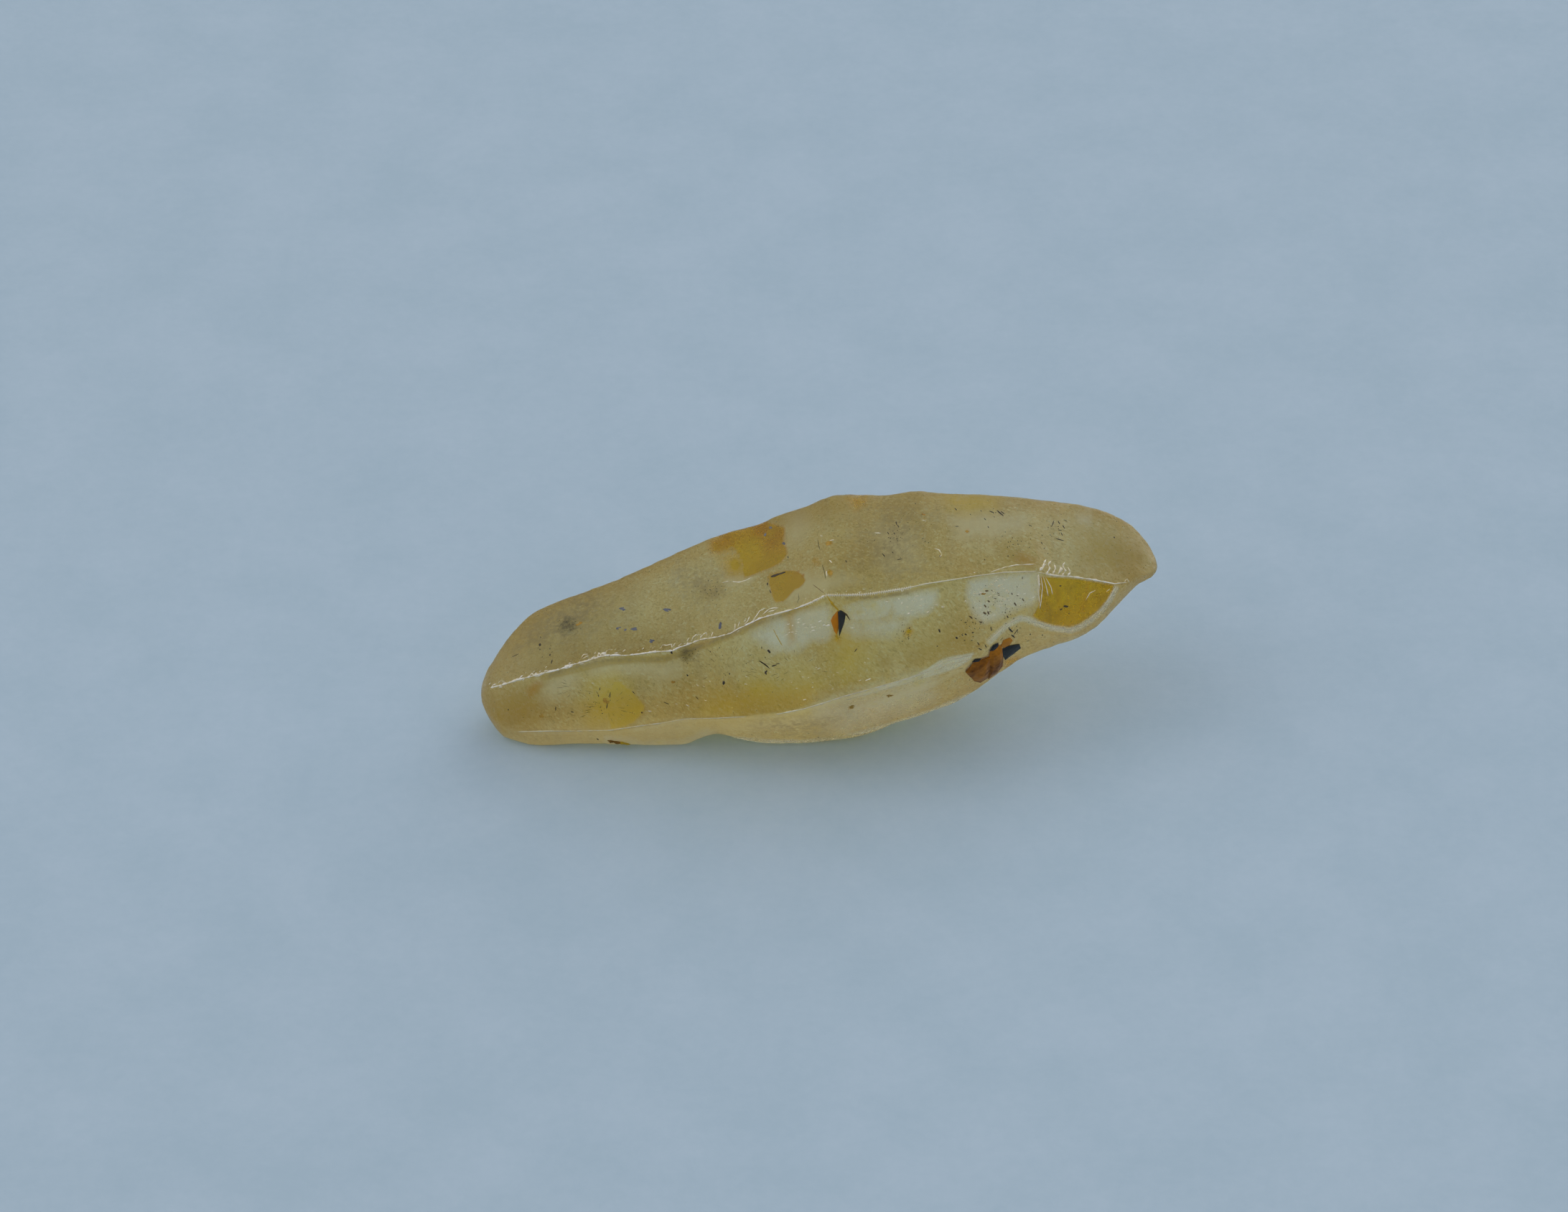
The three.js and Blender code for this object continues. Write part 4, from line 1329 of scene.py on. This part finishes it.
def random_way(draw):
    return Vector((draw.uniform(-1, 1), draw.uniform(-1, 1), draw.uniform(-1, 1)))


def lay_random_grain(bm, hit, size, lengths, draw):
    lay_grain(bm, hit, size * draw.uniform(*lengths), size, random_way(draw),
              size * GRAIN_FLATNESS, draw)


def make_dark_grains(skin):
    """Dark mineral grains in and on the skin."""
    bm = bmesh.new()
    lay_long_grains(bm, skin, DARK_GRAINS, random.Random(DARK_SEED))
    ride(new_object("dark_grains", bm, finish("dark_mineral")))


def make_brown_grains(skin):
    """Finer brown grains: in clusters on the front, scattered on the back and underneath."""
    bm = bmesh.new()
    draw = random.Random(BROWN_SEED)
    lay_long_grains(bm, skin, BROWN_GRAINS, draw)
    for x, y, spread, count in CLUSTERS:
        for _ in range(count):
            hit = skin.under(draw.gauss(x, spread / CLUSTER_WIDE),
                             draw.gauss(y, spread / CLUSTER_HIGH))
            size = draw.uniform(*CLUSTER_SIZE) * STEP
            if hit:
                lay_random_grain(bm, hit, size, CLUSTER_LENGTH, draw)
    for _ in range(BACK_GRAINS):
        along, angle = draw.uniform(*BACK_GRAINS_ALONG), draw.randint(*BACK_GRAINS_AROUND)
        size = draw.uniform(*BACK_GRAIN_SIZE) * STEP
        for hit in skin.ridge(along, along, angle, angle):
            if hit[0].z > BACK_GRAIN_LOWEST:
                lay_random_grain(bm, hit, size, BACK_GRAIN_LENGTH, draw)
    ride(new_object("brown_grains", bm, finish("brown_mineral")))


def make_flakes(name, skin, flakes, material, seed):
    """Flat flakes that lie in the skin, each of several scraps."""
    bm = bmesh.new()
    draw = random.Random(seed)
    for x, y, half_long, half_wide, turn in flakes:
        way = Vector((math.cos(math.radians(turn)), -math.sin(math.radians(turn)))) * half_long
        first, last = skin.under(x - way.x, y - way.y), skin.under(x + way.x, y + way.y)
        for _ in range(FLAKE_SCRAPS):
            place = skin.under(x + draw.uniform(*FLAKE_SCATTER) * way.x,
                               y + draw.uniform(*FLAKE_SCATTER) * half_wide)
            length = draw.uniform(*FLAKE_LENGTH) * half_long * STEP
            width = draw.uniform(*FLAKE_WIDTH) * half_wide * STEP
            direction = last[0] - first[0] + random_way(draw) * half_wide * STEP
            lay_grain(bm, place, length, width, direction, FLAKE_THICKNESS, draw)
    ride(new_object(name, bm, finish(material)))


# ---- Lumps that stand out of the skin -------------------------------------------------------

LUMP_EDGE_RISE = (-0.1, 0.35)  # shares of a lump's rise: its rim and its top
LUMP_TOP_RISE = (0.7, 1.0)
LUMP_SINK = (0.7, 1.0)
LUMP_TOP_INWARD = (0.35, 0.6)
LUMP_BEVEL = 0.007 * MM
# Each kind of lump: the outlines, the finish, how far a lump stands out and reaches in, in
# millimetres, and the seed.
LUMPS = {
    "rust_grains": (RUST_LUMPS, "iron_rust", 0.09, 0.2, 0),
    "orange_grains": (ORANGE_LUMPS, "orange_mineral", 0.03, 0.08, 20),
    "black_grains": (BLACK_LUMPS, "black_mineral", 0.045, 0.08, 40),
}


def hull_grain(bm, skin, outline, rise, sink, seed):
    """A faceted lump whose seen outline is given, standing `rise` out of the skin."""
    draw = random.Random(seed)
    middle = Vector((sum(x for x, _ in outline), sum(y for _, y in outline))) / len(outline)
    verts = []
    for x, y in outline:
        point, normal = skin.under_or_beside(x, y, middle)
        verts.append(bm.verts.new(point + normal * rise * draw.uniform(*LUMP_EDGE_RISE)))
        verts.append(bm.verts.new(point - normal * sink * draw.uniform(*LUMP_SINK)))
        inner = Vector((x, y)).lerp(middle, draw.uniform(*LUMP_TOP_INWARD))
        point, normal = skin.under(*inner)
        verts.append(bm.verts.new(point + normal * rise * draw.uniform(*LUMP_TOP_RISE)))
    bmesh.ops.convex_hull(bm, input=verts)
    spare = [v for v in verts if v.is_valid and not v.link_faces]
    bmesh.ops.delete(bm, geom=spare, context="VERTS")


def make_lumps(name, skin, outlines, material, rise, sink, seed):
    """Mineral grains that stand out of the skin."""
    bm = bmesh.new()
    for index, outline in enumerate(outlines):
        hull_grain(bm, skin, outline, rise * MM, sink * MM, seed + index)
    bmesh.ops.bevel(bm, geom=bm.edges[:], offset=LUMP_BEVEL, offset_type="OFFSET", segments=2,
                    profile=0.5, affect="EDGES", material=-1, clamp_overlap=True)
    ride(new_object(name, bm, finish(material)))


camera = make_camera()
make_floor()
make_room_light()
make_lamp()
crystal = make_crystal(camera)
skin = Skin(crystal, camera)
make_ridge_lip(skin)
make_worn_edges(skin)
make_chips(skin)
make_dark_grains(skin)
make_brown_grains(skin)
for name, (flakes, material, seed) in FLAKES.items():
    make_flakes(name, skin, flakes, material, seed)
for name, (outlines, material, rise, sink, seed) in LUMPS.items():
    make_lumps(name, skin, outlines, material, rise, sink, seed)
for name, threads in HAIRS.items():
    make_hairs(name, skin, threads)
make_feathers(skin)
